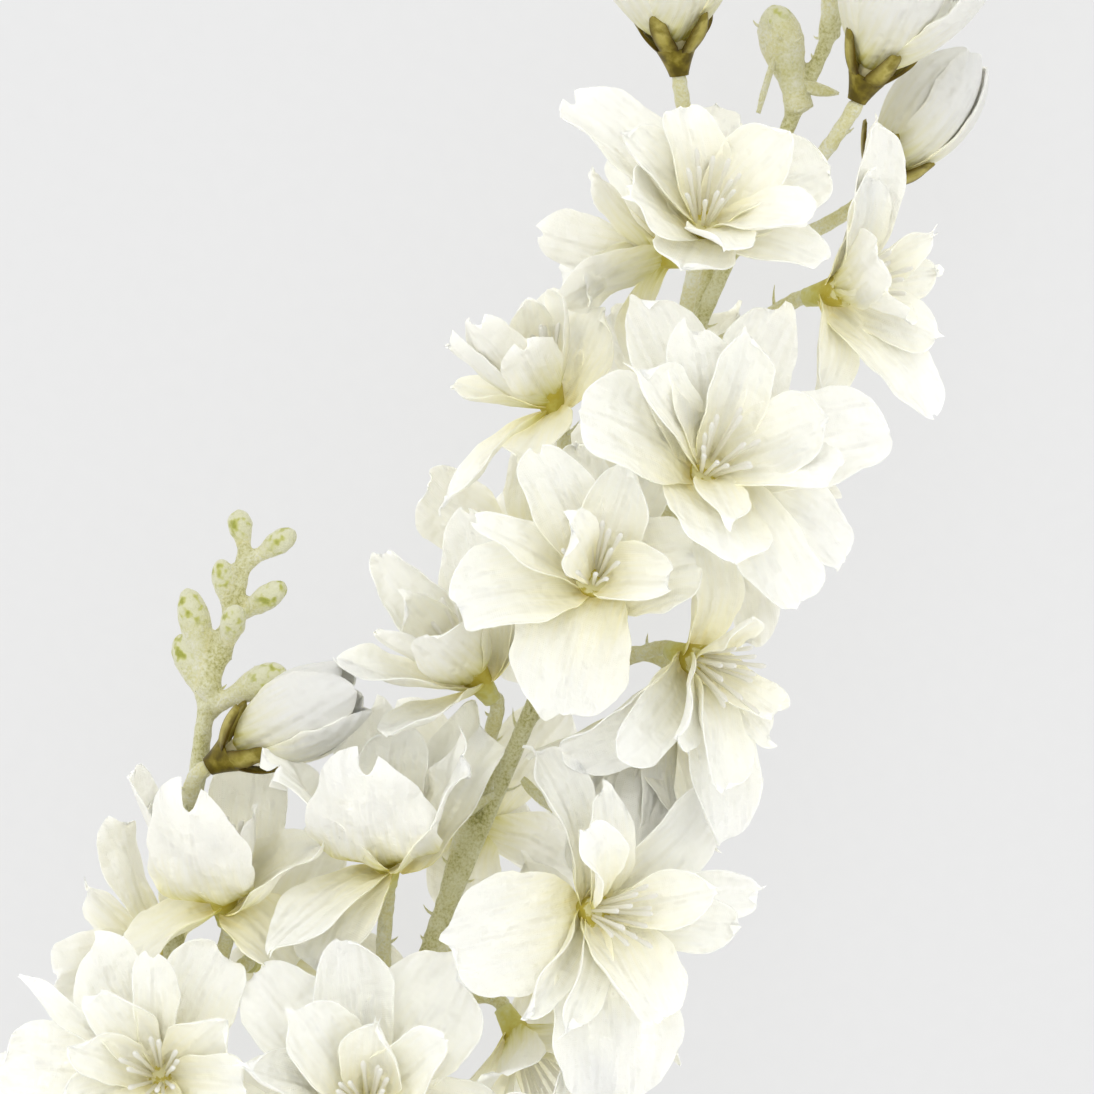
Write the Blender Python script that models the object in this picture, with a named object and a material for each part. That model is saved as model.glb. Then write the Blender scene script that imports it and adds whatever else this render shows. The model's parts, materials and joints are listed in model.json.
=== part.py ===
"""A silk delphinium spike, cut and laid down on a surface.

The spike lies along +Y with its cut end at -Y, +Z is up, and the origin is the middle of its footprint.
Sizes are in millimetres and angles in degrees. Mesh points become metres as they are made.
"""

import math
import random

import bmesh
import bpy
import numpy as np
from mathutils import Vector
from mathutils.bvhtree import BVHTree

MM = 0.001

# Driving sizes
STEM_RADIUS = 2.3
TIP_RADIUS = 1.2
BRANCH_RADIUS = 2.1
STALK_RADIUS = 1.6
STALK_COLLAR = 2.5
PETAL_THICKNESS = 0.72
LOBE_THICKNESS = 0.9
ROOT_TILT = 12.0
NECK_LENGTH = 7.5
NECK_RADIUS = 3.1
STAMEN_RADIUS = 0.55
STAMEN_REACH = (9.0, 13.0)
STAMEN_SUNK = 2.5
SEAT_GAP = 0.3
PETAL_GAP = 0.35
FLOOR_GAP = 0.42
FLOOR_SOFTNESS = 4.0

# The view that the places below are given in: the spike leans this far to the right of upright in it
LEAN = 23.4
VIEW_MIDDLE = (-6.5, 93.0)
STEM_ASIDE = 9.0
STEM_RISE = 31.0

# Where the stem runs: aside from its own line, along the spike, and below the height of the flowers
MAIN_ROUTE = (
    (0.0, -308.0, 2.7 - STEM_RISE),
    (1.5, -262.0, -26.0),
    (0.5, -190.0, -15.0),
    (-0.8, -124.0, -6.5),
    (0.0, -60.0, -1.5),
    (0.3, 20.0, 0.0),
    (0.0, 110.0, 0.0),
    (0.8, 180.0, 0.0),
    (2.2, 235.0, -1.0),
    (5.0, 305.0, -4.0),
)
BRANCH_ROUTE = (
    (-0.8, -126.0, -6.5),
    (-8.0, -98.0, -3.0),
    (-21.0, -62.0, 1.0),
    (-34.5, -24.0, 3.5),
    (-44.0, 8.0, 4.5),
    (-50.0, 30.0, 5.0),
    (-54.0, 45.0, 5.0),
    (-56.0, 60.0, 5.0),
    (-58.0, 70.0, 5.0),
)

# Green buds on the side branch and near the tip: foot and tip in the view, and radius
GREEN_BUDS = (
    ((-54.0, -1.0, 5.0), (-55.4, 6.8, 5.0), 2.4),
    ((-53.0, -2.5, 5.0), (-44.8, 2.8, 8.0), 2.3),
    ((-57.0, -12.0, 5.0), (-58.2, -2.0, 8.0), 2.2),
    ((-56.0, -13.0, 5.0), (-46.4, -6.6, 9.5), 2.4),
    ((-60.5, -24.0, 5.0), (-64.5, -7.2, 5.0), 3.0),
    ((-61.0, -28.0, 5.0), (-66.3, -15.6, 1.0), 2.8),
    ((-57.5, -19.0, 5.0), (-55.0, -10.4, 11.5), 2.4),
    ((-59.5, -28.5, 5.0), (-46.4, -21.6, 10.5), 3.0),
    ((45.0, 80.0, 1.0), (40.4, 97.0, 5.0), 4.2),
)

# Green buds up the tip of the spike, placed by turning the golden angle about the stem
TIP_BUDS = 12
TIP_BUD_RADIUS = 3.8
TIP_BUD_LENGTHS = (19.0, 9.0)
TIP_BUD_LEAN = (1.05, 1.95)
TIP_BUD_START = 40.0
TIP_FROM = 204.0
TIP_TO = 303.0
GOLDEN_ANGLE = 137.5

# Narrow bracts in the view: foot, tip and width
BRACTS = (
    ((41.4, 89.0, 4.0), (37.8, 77.6, 5.0), 2.2),
    ((44.8, 83.0, 1.5), (52.4, 81.4, 2.0), 2.2),
    ((-9.0, -44.0, 1.5), (-23.4, -53.8, 4.0), 2.0),
    ((-4.6, -41.5, 1.5), (1.2, -47.5, 3.0), 2.4),
    ((-58.5, -28.0, 5.5), (-62.6, -25.6, 7.0), 2.2),
)


def unit(vector):
    return vector / np.linalg.norm(vector)


def turned(right, up, near):
    """A direction in the view, turned into the spike's own frame."""
    lean = math.radians(LEAN)
    return np.array(
        [
            right * math.cos(lean) - up * math.sin(lean),
            right * math.sin(lean) + up * math.cos(lean),
            near,
        ]
    )


def placed(right, up, near):
    """A place in the view, turned into the spike's own frame."""
    return turned(right, up, near) + np.array([*VIEW_MIDDLE, STEM_RISE])


def smooth_route(route, step):
    """Points every step or so along a Catmull-Rom curve through the route's own points."""
    ends = [2 * np.array(route[0]) - route[1], *map(np.array, route), 2 * np.array(route[-1]) - route[-2]]
    points = []
    for before, start, end, after in zip(ends, ends[1:], ends[2:], ends[3:]):
        count = max(1, round(float(np.linalg.norm(end - start)) / step))
        for k in range(count):
            u = k / count
            points.append(
                0.5
                * (
                    2 * start
                    + (end - before) * u
                    + (2 * before - 5 * start + 4 * end - after) * u**2
                    + (3 * start - before - 3 * end + after) * u**3
                )
            )
    points.append(ends[-2])
    return np.array(points)


def on_spike(route):
    """A stem's route in the spike's own frame."""
    return [(aside + VIEW_MIDDLE[0] + STEM_ASIDE, along, rise + STEM_RISE) for aside, along, rise in route]


MAIN_LINE = smooth_route(on_spike(MAIN_ROUTE), 4.0)
BRANCH_LINE = smooth_route(on_spike(BRANCH_ROUTE), 4.0)


def stem_at(line, along):
    return np.array([np.interp(along, line[:, 1], line[:, k]) for k in range(3)])


def material(name, color, roughness):
    made = bpy.data.materials.new(name)
    made.use_nodes = True
    shader = made.node_tree.nodes["Principled BSDF"]
    shader.inputs["Base Color"].default_value = (*color, 1.0)
    shader.inputs["Roughness"].default_value = roughness
    shader.inputs["Metallic"].default_value = 0.0
    made.diffuse_color = (*color, 1.0)
    return made


def add_object(name, mesh, collection):
    made = bpy.data.objects.new(name, mesh)
    collection.objects.link(made)
    return made


def mesh_of(bm, name):
    """The mesh of bm, whose points are in millimetres, in metres and with its faces outwards."""
    if bm.calc_volume(signed=True) < 0:
        bmesh.ops.reverse_faces(bm, faces=bm.faces)
    bmesh.ops.scale(bm, vec=(MM, MM, MM), verts=bm.verts)
    mesh = bpy.data.meshes.new(name)
    bm.to_mesh(mesh)
    bm.free()
    return mesh


def keep_largest(mesh):
    """Fills any hollow that the union sealed and drops any loose scrap: both are islands of their own."""
    bm = bmesh.new()
    bm.from_mesh(mesh)
    islands = []
    left = set(bm.faces)
    while left:
        island = {left.pop()}
        edge = list(island)
        while edge:
            near = {f for e in edge.pop().edges for f in e.link_faces} - island
            island |= near
            edge += near
        left -= island
        islands.append(island)
    body = max(islands, key=lambda island: sum(f.calc_area() for f in island))
    bmesh.ops.delete(bm, geom=[f for f in bm.faces if f not in body], context="FACES")
    bm.to_mesh(mesh)
    bm.free()


def joined(name, meshes, paint):
    """One solid made of all the meshes, by one union on a collection of them."""
    scrap = bpy.data.collections.new("scrap")
    bpy.context.scene.collection.children.link(scrap)
    for mesh in meshes[1:]:
        add_object("piece", mesh, scrap)
    body = add_object("body", meshes[0], bpy.context.scene.collection)
    union = body.modifiers.new("union", "BOOLEAN")
    union.operation = "UNION"
    union.operand_type = "COLLECTION"
    union.collection = scrap
    # A dozen thin petals cross at each throat, where the exact solver is slow
    union.solver = "MANIFOLD"
    bpy.context.view_layer.update()
    mesh = bpy.data.meshes.new_from_object(body.evaluated_get(bpy.context.evaluated_depsgraph_get()))
    for piece in [*scrap.objects, body]:
        bpy.data.objects.remove(piece)
    bpy.data.collections.remove(scrap)
    mesh.name = name
    keep_largest(mesh)
    mesh.materials.clear()
    mesh.materials.append(paint)
    mesh.shade_smooth()
    mesh.set_sharp_from_angle(angle=math.radians(40))
    return add_object(name, mesh, SPIKE)


def tube(points, radii, sides):
    """A closed tube along the points. A curve's bevel has 4 sides at resolution 0 and 2 more at each step."""
    curve = bpy.data.curves.new("tube", "CURVE")
    curve.dimensions = "3D"
    curve.bevel_depth = MM
    curve.bevel_resolution = (sides - 4) // 2
    curve.use_fill_caps = True
    spline = curve.splines.new("POLY")
    spline.points.add(len(points) - 1)
    for point, place, radius in zip(spline.points, points, radii):
        point.co = (*(np.array(place) * MM), 1.0)
        point.radius = radius
    guide = add_object("guide", curve, bpy.context.scene.collection)
    bpy.context.view_layer.update()
    mesh = bpy.data.meshes.new_from_object(guide.evaluated_get(bpy.context.evaluated_depsgraph_get()))
    bpy.data.objects.remove(guide)
    bpy.data.curves.remove(curve)
    bm = bmesh.new()
    bm.from_mesh(mesh)
    bmesh.ops.remove_doubles(bm, verts=bm.verts, dist=1e-6)
    if bm.calc_volume(signed=True) < 0:
        bmesh.ops.reverse_faces(bm, faces=bm.faces)
    bm.to_mesh(mesh)
    bm.free()
    return mesh


# Petals


def petal_blank(rings):
    """The points of a four-sided ball as (s, t, side) and its triangles.

    s counts the ring from root to tip, t is -1 or 1 on the two edges, and side is -1 or 1 on the two faces.
    Each four-sided face is split from its edge point to its far face point, alike on both faces.
    """
    bm = bmesh.new()
    bmesh.ops.create_uvsphere(bm, u_segments=4, v_segments=rings + 1, radius=1.0)
    step = math.pi / (rings + 1)
    for v in bm.verts:
        ring = round(math.acos(max(-1.0, min(1.0, -v.co.z))) / step)
        v.co = (ring, round(v.co.x * 1.2), round(v.co.y * 1.2))
    for face in [f for f in bm.faces if len(f.verts) == 4]:
        low, high = min(v.co.x for v in face.verts), max(v.co.x for v in face.verts)
        edge = next(v for v in face.verts if v.co.x == low and v.co.y != 0)
        middle = next(v for v in face.verts if v.co.x == high and v.co.z != 0)
        bmesh.utils.face_split(face, edge, middle)
    bm.verts.index_update()
    points = np.array([v.co[:] for v in bm.verts])
    faces = [[v.index for v in reversed(f.verts)] for f in bm.faces]
    bm.free()
    return points, faces


BLANKS = {rings: petal_blank(rings) for rings in (2, 3, 4)}
RING_PLACES = {
    2: (0.0, 0.5, 0.88, 1.0),
    3: (0.0, 0.36, 0.7, 0.93, 1.0),
    4: (0.0, 0.28, 0.56, 0.81, 0.955, 1.0),
}


def frame_of(axis):
    """Three directions whose third is the axis, turned the short way from the view's right, up and near."""
    axis = unit(np.array(axis, float))
    right, up, near = (turned(*way) for way in ((1, 0, 0), (0, 1, 0), (0, 0, 1)))
    across = np.cross(near, axis)
    sine, cosine = np.linalg.norm(across), float(near @ axis)
    if sine < 1e-9:
        return np.array([right, up, near]) if cosine > 0 else np.array([right, -up, -near])
    pole = across / sine

    def swung(way):
        return way * cosine + np.cross(pole, way) * sine + pole * (pole @ way) * (1 - cosine)

    return np.array([swung(right), swung(up), swung(near)])


def middle_line(start, end, bend, length):
    """How far out from the axis and how far up it the petal's middle line is, at 41 places along it."""
    fine = np.linspace(0.0, 1.0, 41)
    pitch = np.radians(start + (end - start) * fine**bend)
    step = length / 40
    out = np.concatenate([[0.0], np.cumsum((np.sin(pitch[1:]) + np.sin(pitch[:-1])) / 2 * step)])
    rise = np.concatenate([[0.0], np.cumsum((np.cos(pitch[1:]) + np.cos(pitch[:-1])) / 2 * step)])
    return fine, pitch, out, rise


def petal_middle(petal, s, t):
    """Points of the petal's middle surface, s along it from root to tip and t across it from edge to edge.

    The middle line leaves the root at the angle start from the bloom's axis and reaches the tip at the angle
    end. The outline widens from its claw and rounds off at its tip, by two powers that set its widest place.
    The section is an arc of the angle cup, the petal twists and swings sideways, and its edges are waved.
    """
    fine, pitch, out, rise = middle_line(petal["start"], petal["end"], petal["bend"], petal["length"])
    angle = math.radians(petal["azimuth"])
    radial = np.array([math.cos(angle), math.sin(angle), 0.0])
    across = np.array([-math.sin(angle), math.cos(angle), 0.0])
    up = np.array([0.0, 0.0, 1.0])
    p = np.interp(s, fine, pitch)[:, None]
    line = np.interp(s, fine, out)[:, None] * radial + np.interp(s, fine, rise)[:, None] * up
    inward = -np.cos(p) * radial + np.sin(p) * up
    twist = np.radians(petal["tilt"] * (1 - s) + petal["twist"] * s)[:, None]
    sideways = across * np.cos(twist) + inward * np.sin(twist)
    inward = inward * np.cos(twist) - across * np.sin(twist)
    claw, point = petal["claw"], petal["point"]
    widest = claw / (claw + point)
    full = widest**claw * (1 - widest) ** point
    half = petal["width"] / 2 * (s**claw * np.clip(1 - s, 0, 1) ** point / full)
    cup = math.radians(petal["cup"])
    wave = petal["wave"] * np.sin(6.3 * s + petal["phase"] + 1.9 * (t > 0)) * np.abs(t) ** 1.5 * s
    lift = half * cup * t**2 / 2 + wave
    slide = half * t * (1 - (cup * t) ** 2 / 6) + petal["swing"] / 57.3 * petal["length"] * s**2 / 2
    return line + slide[:, None] * sideways + lift[:, None] * inward + np.array([0.0, 0.0, petal["root"]])


def above_floor(points, level):
    """The points with those that would reach the surface laid along it."""
    low = FLOOR_GAP + level
    rise = points[:, 2]
    laid = low + FLOOR_SOFTNESS * np.exp(np.minimum((rise - low) / FLOOR_SOFTNESS - 1, 0.0))
    points[:, 2] = np.where(rise > low + FLOOR_SOFTNESS, rise, laid)
    return points


def petal_surface(flower, petal, s, t):
    """The middle surface in the spike's own frame, with what the surface below holds up."""
    points = petal_middle(petal, s, t) @ flower["frame"] + flower["base"]
    return above_floor(points, petal["level"])


def petal_points(flower, petal, swell=0.0):
    """The points of a petal's solid. swell thickens and widens it, for a test of how close it comes."""
    ring, t, side = BLANKS[petal["rings"]][0].T
    s = np.array(RING_PLACES[petal["rings"]])[ring.astype(int)]
    wide = petal | {"width": petal["width"] + 2 * swell}
    points = petal_surface(flower, wide, s, t)
    nudge = 0.02
    along = petal_surface(flower, wide, np.minimum(s + nudge, 0.99), t) - petal_surface(
        flower, wide, np.maximum(s - nudge, 0.01), t
    )
    inner = np.clip(s, 0.04, 0.96)
    across = petal_surface(flower, wide, inner, t * 0 + 0.3) - petal_surface(flower, wide, inner, t * 0 - 0.3)
    normal = np.cross(across, along)
    normal /= np.linalg.norm(normal, axis=1)[:, None]
    return points + normal * (side * (petal["thick"] / 2 + swell))[:, None]


def petal_mesh(points, rings):
    mesh = bpy.data.meshes.new("petal")
    mesh.from_pydata([tuple(p) for p in points * MM], [], BLANKS[rings][1])
    return mesh


# Flowers


# A petal seen aslant and curved is this much wider when laid flat
FLATTENED = 1.18


def to(right, up, near, width, **more):
    """A petal whose tip is at a place in the view. more may state its start, cup, twist or point."""
    return {"tip": (right, up, near), "width": width * FLATTENED, **more}


def flower(
    name, at, faces, seed, size=1.0, roll=0.0, outer=5, inner=4, opens=44.0, stem="main", drop=20.0,
    behind=False,
):  # fmt: skip
    """A bloom whose throat is at a place in the view and which faces a direction there.

    outer and inner are a count of petals, which a seeded draw then varies, or a list of them by their tips.
    opens is the angle from its axis at which the outer petals leave the throat. drop is how far down the stem
    its stalk leaves it. A bloom behind the others has petals of fewer faces.
    """
    return locals()


BLOOMS = (
    flower(
        "bloom_01",
        at=(28.3, 13.9, 21.0),
        faces=(0.3, 0.42, 0.86),
        outer=(
            to(16.7, 43.6, 17, 13.0),
            to(40.1, 42.0, 14, 13.0),
            to(60.3, 21.0, 14, 15.0, cup=24),
            to(52.7, -2.3, 4, 11.0),
            to(43.7, -10.3, 22, 12.0, twist=16),
            to(31.5, -1.4, 37, 15.0, cup=20, point=0.5),
            to(6.0, 24.2, 31, 15.5, cup=26, point=0.3),
        ),
        inner=(
            to(25.2, 37.8, 27, 11.5, cup=50),
            to(35.1, 36.9, 27, 11.5, cup=50),
            to(49.1, 22.5, 29, 11.5),
            to(50.6, 14.0, 31, 9.0),
            to(15.3, 30.6, 33, 10.0),
            to(32.2, 4.2, 35, 7.5),
        ),
        seed=1,
    ),
    flower(
        "bloom_02",
        at=(8.0, -5.2, 22.0),
        faces=(0.0, 0.42, 0.9),
        outer=(
            to(2.2, -28.8, 27, 17.0, cup=22),
            to(-16.0, -9.6, 26, 15.0, cup=26),
            to(-11.9, 4.5, 31, 8.0, cup=60, point=0.7),
            to(5.0, 18.6, 16, 10.0),
            to(18.6, 14.0, 14, 11.0),
            to(26.0, -2.4, 24, 15.0),
        ),
        inner=(
            to(-1.3, 16.0, 26, 11.0),
            to(14.9, 14.6, 27, 11.0),
            to(20.8, -5.4, 33, 11.0, cup=60),
            to(3.6, 4.4, 41, 9.0, cup=24, start=10),
        ),
        seed=2,
    ),
    flower(
        "bloom_03",
        at=(27.6, 57.6, 20.0),
        faces=(0.1, 0.62, 0.78),
        outer=(
            to(5.0, 78.6, 14, 14.0),
            to(30.0, 78.6, 4, 8.0),
            to(35.0, 74.6, 10, 7.5),
            to(50.0, 67.0, 16, 14.0, cup=44),
            to(48.2, 49.4, 27, 9.0, twist=20),
            to(22.6, 46.4, 37, 12.0, cup=20),
            to(14.0, 60.4, 34, 13.0, cup=24),
        ),
        inner=(
            to(12.4, 71.6, 26, 11.5, cup=54),
            to(23.2, 77.0, 22, 10.0),
            to(42.5, 72.5, 23, 11.5),
            to(44.0, 56.0, 34, 9.0),
            to(31.0, 50.6, 38, 10.0, cup=30),
        ),
        seed=3,
    ),
    flower(
        "bloom_04",
        at=(-28.2, -53.0, 12.0),
        faces=(0.02, 0.88, 0.46),
        outer=(
            to(-44.4, -35.2, 18, 14.5, claw=0.45),
            to(-12.4, -31.6, 8, 14.0, claw=0.45),
            to(-48.0, -70.6, 20, 11.0, cup=24, start=70),
            to(-39.8, -75.4, 14, 14.0, cup=24, start=74),
            to(-32.0, -29.0, 2, 14.0),
        ),
        inner=(
            to(-31.2, -38.6, 31, 19.0, cup=24, start=70, claw=0.45),
            to(-26.5, -31.6, 16, 11.0),
            to(-16.6, -36.4, 24, 14.0, start=64, claw=0.45),
        ),
        drop=24,
        opens=64.0,
        seed=4,
    ),
    flower(
        "bloom_05",
        at=(9.2, -64.0, 20.0),
        faces=(0.62, 0.0, 0.78),
        outer=(
            to(-16.8, -69.2, 28, 17.0, cup=20),
            to(10.6, -97.6, 18, 21.0, cup=18, point=0.35),
            to(37.8, -61.4, 8, 9.0, twist=20),
            to(-2.0, -36.0, 17, 10.0, cup=50),
            to(30.0, -42.0, 4, 13.0),
            to(-4.4, -81.5, 31, 7.0, cup=70),
        ),
        inner=(
            to(18.5, -82.4, 27, 15.0, cup=50),
            to(3.0, -84.0, 32, 7.5),
            to(34.0, -66.8, 17, 9.0),
            to(29.4, -60.0, 24, 9.0, cup=60),
            to(9.5, -42.4, 24, 8.5),
            to(7.6, -48.0, 38, 8.0, cup=70),
        ),
        seed=5,
    ),
    flower(
        "bloom_06",
        at=(-31.3, -97.4, 22.0),
        faces=(-0.02, 0.36, 0.93),
        outer=(
            to(-51.4, -74.4, 19, 14.5),
            to(-36.0, -69.0, 14, 14.0),
            to(-15.0, -73.2, 21, 17.5, cup=24),
            to(-7.0, -106.0, 24, 15.0),
            to(-36.0, -124.0, 22, 16.0),
            to(-53.4, -89.6, 33, 9.0, cup=60, twist=20),
        ),
        inner=(
            to(-29.0, -81.4, 33, 10.5),
            to(-43.0, -79.6, 31, 12.0),
            to(-17.5, -84.6, 33, 10.5, cup=60),
            to(-18.0, -111.0, 34, 11.0),
            to(-45.0, -106.0, 34, 10.0),
        ),
        seed=6,
    ),
    flower(
        "bloom_07",
        at=(-68.0, -92.8, 19.0),
        faces=(-0.02, 0.22, 0.96),
        outer=(
            to(-79.4, -69.4, 19, 12.0),
            to(-91.8, -74.4, 26, 5.0, cup=70, point=0.7),
            to(-96.0, -91.6, 18, 15.0),
            to(-78.0, -118.0, 22, 16.0),
            to(-46.0, -110.0, 18, 15.0),
            to(-54.6, -72.6, 18, 14.0),
        ),
        inner=(
            to(-77.4, -77.6, 29, 9.0),
            to(-68.4, -71.6, 26, 8.0, cup=60),
            to(-55.3, -81.8, 29, 9.5),
            to(-52.5, -93.0, 30, 9.0),
            to(-67.0, -109.0, 31, 11.0),
            to(-84.5, -96.6, 31, 10.0),
            to(-82.4, -85.8, 33, 8.0),
        ),
        stem="branch",
        seed=7,
    ),
    flower(
        "bloom_08",
        at=(27.4, -20.4, 12.0),
        faces=(0.66, -0.24, 0.7),
        outer=(
            to(1.0, -34.0, 18, 14.0, cup=50),
            to(12.4, -36.4, 30, 9.0, cup=30, twist=24),
            to(39.8, -33.7, 10, 10.0, point=0.65),
            to(31.0, -52.6, 12, 13.0),
            to(26.0, 4.0, 12, 12.0),
        ),
        inner=(
            to(22.4, -33.0, 31, 10.0, cup=30),
            to(30.6, -42.6, 25, 11.0, cup=60),
            to(40.6, -28.6, 17, 7.0),
            to(36.0, -12.0, 24, 8.0),
        ),
        seed=8,
    ),
    flower(
        "bloom_09",
        at=(53.0, 46.0, 6.0),
        faces=(0.78, 0.14, 0.6),
        outer=(
            to(52.4, 77.0, 3, 12.0),
            to(69.0, 23.6, 6, 13.0, point=0.35, cup=24),
            to(45.6, 24.0, 12, 10.0),
            to(71.4, 50.2, -3, 9.0, point=0.65),
            to(69.8, 37.2, 2, 9.0),
        ),
        inner=(
            to(57.4, 50.6, 26, 11.0, cup=26),
            to(58.0, 66.0, 10, 9.0),
            to(63.2, 40.6, 20, 9.5, cup=50),
            to(68.6, 56.0, 9, 7.0),
        ),
        seed=9,
    ),
    flower(
        "bloom_10",
        at=(-0.4, 29.0, 6.0),
        faces=(-0.32, 0.84, 0.42),
        outer=(
            to(-16.8, 36.6, 14, 10.5, cup=50),
            to(-17.4, 28.0, 4, 10.0),
            to(10.6, 42.6, 4, 14.0, cup=30),
            to(-17.4, 6.4, 16, 6.0, cup=60, start=80),
            to(-4.2, 14.6, 18, 10.0, cup=24, start=80),
            to(2.3, 46.6, -4, 10.0),
        ),
        inner=(
            to(-12.4, 39.6, 20, 9.5),
            to(-5.4, 42.8, 12, 8.0),
            to(3.0, 44.2, 12, 8.0),
            to(-4.0, 34.6, 24, 9.0, cup=30),
        ),
        drop=26,
        opens=64.0,
        seed=10,
    ),
    flower(
        "bloom_11",
        at=(-14.0, -21.4, 6.0),
        faces=(-0.5, 0.72, 0.46),
        outer=(
            to(-38.0, -24.6, 14, 13.0, cup=30, start=64),
            to(-29.6, -1.2, 6, 10.5, cup=60, point=0.65),
            to(-14.0, 6.0, 2, 13.0),
            to(1.0, -6.0, 4, 13.0),
            to(-25.0, -39.0, 20, 12.0, start=78),
        ),
        inner=(
            to(-25.4, -8.6, 12, 9.0),
            to(-20.0, -15.6, 24, 11.0, cup=44),
            to(-11.0, -4.0, 14, 10.0),
            to(-30.0, -15.0, 16, 9.0),
        ),
        drop=42,
        opens=64.0,
        seed=11,
    ),
    flower(
        "bloom_12",
        at=(-57.8, -60.0, 10.0),
        faces=(-0.08, 0.88, 0.46),
        outer=(
            to(-77.6, -41.8, 16, 11.0, cup=50, point=0.65, claw=0.5),
            to(-42.0, -52.2, 14, 14.0, claw=0.45),
            to(-70.0, -38.0, 0, 12.0),
            to(-52.0, -36.0, 0, 12.0),
            to(-74.0, -72.0, 10, 11.0, start=76),
            to(-47.0, -76.0, 12, 12.0, start=78),
        ),
        inner=(
            to(-61.8, -45.8, 26, 16.0, cup=24, start=70, claw=0.45),
            to(-50.6, -46.6, 18, 10.0),
            to(-70.0, -46.0, 14, 10.0),
        ),
        stem="branch",
        drop=18,
        opens=64.0,
        seed=12,
    ),
    flower(
        "bloom_13",
        at=(19.0, 53.5, -5.0),
        faces=(-0.8, 0.15, -0.1),
        outer=(
            to(-0.6, 56.4, -1, 9.0),
            to(4.6, 40.6, 8, 9.0, cup=30),
            to(14.0, 74.0, -14, 13.0),
            to(2.0, 52.0, -24, 13.0),
            to(20.0, 32.0, -12, 13.0),
        ),
        inner=4,
        behind=True,
        seed=13,
    ),
    flower(
        "bloom_14",
        at=(35.0, 8.0, -10.0),
        faces=(0.7, 0.0, -0.5),
        size=0.92,
        inner=3,
        behind=True,
        seed=14,
    ),
    flower(
        "bloom_15",
        at=(19.0, -31.0, 3.0),
        faces=(-0.35, -0.8, 0.25),
        outer=(
            to(-1.4, -37.5, 13, 12.0, cup=40),
            to(4.0, -60.0, 8, 12.0, cup=30),
            to(20.0, -57.0, 12, 11.0),
            to(32.0, -53.0, 3, 12.0),
            to(0.0, -48.0, -10, 12.0),
        ),
        inner=(
            to(9.0, -51.0, 12, 8.0),
            to(14.5, -54.0, 15, 9.0),
            to(24.5, -48.0, 12, 9.0),
            to(8.0, -44.0, 2, 9.0),
        ),
        drop=8,
        behind=True,
        seed=15,
    ),
    flower(
        "bloom_16",
        at=(-4.0, -90.0, 0.0),
        faces=(0.3, -0.5, 0.2),
        size=0.98,
        inner=3,
        drop=10,
        behind=True,
        seed=16,
    ),
    flower(
        "bloom_17",
        at=(-70.0, -74.0, -4.0),
        faces=(-0.6, 0.0, -0.4),
        size=0.9,
        inner=3,
        stem="branch",
        behind=True,
        seed=17,
    ),
    flower(
        "bloom_18",
        at=(-50.0, -74.0, -6.0),
        faces=(0.4, 0.1, -0.8),
        size=0.9,
        inner=3,
        stem="branch",
        behind=True,
        seed=18,
    ),
    flower(
        "bloom_19",
        at=(-14.0, -50.0, -18.0),
        faces=(-0.1, 0.25, -0.95),
        size=0.96,
        inner=3,
        behind=True,
        seed=19,
    ),
    flower(
        "bloom_20",
        at=(22.0, 22.0, -20.0),
        faces=(0.1, 0.2, -0.95),
        size=0.92,
        roll=36,
        inner=3,
        behind=True,
        seed=20,
    ),
    flower(
        "bloom_21",
        at=(-3.0, -4.0, -18.0),
        faces=(-0.5, 0.2, -0.85),
        size=0.92,
        inner=3,
        behind=True,
        seed=21,
    ),
    flower(
        "bloom_22",
        at=(2.0, -76.0, -20.0),
        faces=(0.4, 0.1, -0.9),
        size=0.96,
        roll=30,
        inner=3,
        behind=True,
        seed=22,
    ),
    flower("bloom_23", at=(2.0, -114.0, 18.0), faces=(0.5, 0.1, 0.85), behind=True, seed=23),
    flower("bloom_24", at=(-60.0, -130.0, 18.0), faces=(0.1, 0.3, 0.9), stem="branch", behind=True, seed=24),
    flower("bloom_25", at=(-24.0, -136.0, 20.0), faces=(0.2, 0.2, 0.95), behind=True, seed=25),
    flower("bloom_26", at=(-98.0, -118.0, 2.0), faces=(-0.9, 0.2, 0.3), stem="branch", behind=True, seed=26),
    flower("bloom_27", at=(-16.0, -150.0, -6.0), faces=(0.85, -0.1, -0.3), behind=True, seed=27),
    flower("bloom_28", at=(-58.0, -124.0, -20.0), faces=(0.0, 0.2, -1), stem="branch", behind=True, seed=28),
)


def aimed(petal, made):
    """The azimuth, end angle and length that bring the petal's tip to its place, found by halving a range."""
    x, y, z = (placed(*petal["tip"]) - made["base"]) @ made["frame"].T
    z -= petal["root"]
    away = math.hypot(x, y)
    wanted = math.atan2(away, z)
    low, high = -70.0, 190.0
    for _ in range(30):
        end = (low + high) / 2
        out, rise = (line[-1] for line in middle_line(petal["start"], end, petal["bend"], 1.0)[2:])
        if math.atan2(out, rise) < wanted:
            low = end
        else:
            high = end
    length = math.hypot(away, z) / math.hypot(out, rise)
    aside = petal["swing"] / 2 * length / max(away, 6.0)
    return petal | {"azimuth": math.degrees(math.atan2(y, x)) - aside, "end": end, "length": length}


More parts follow.
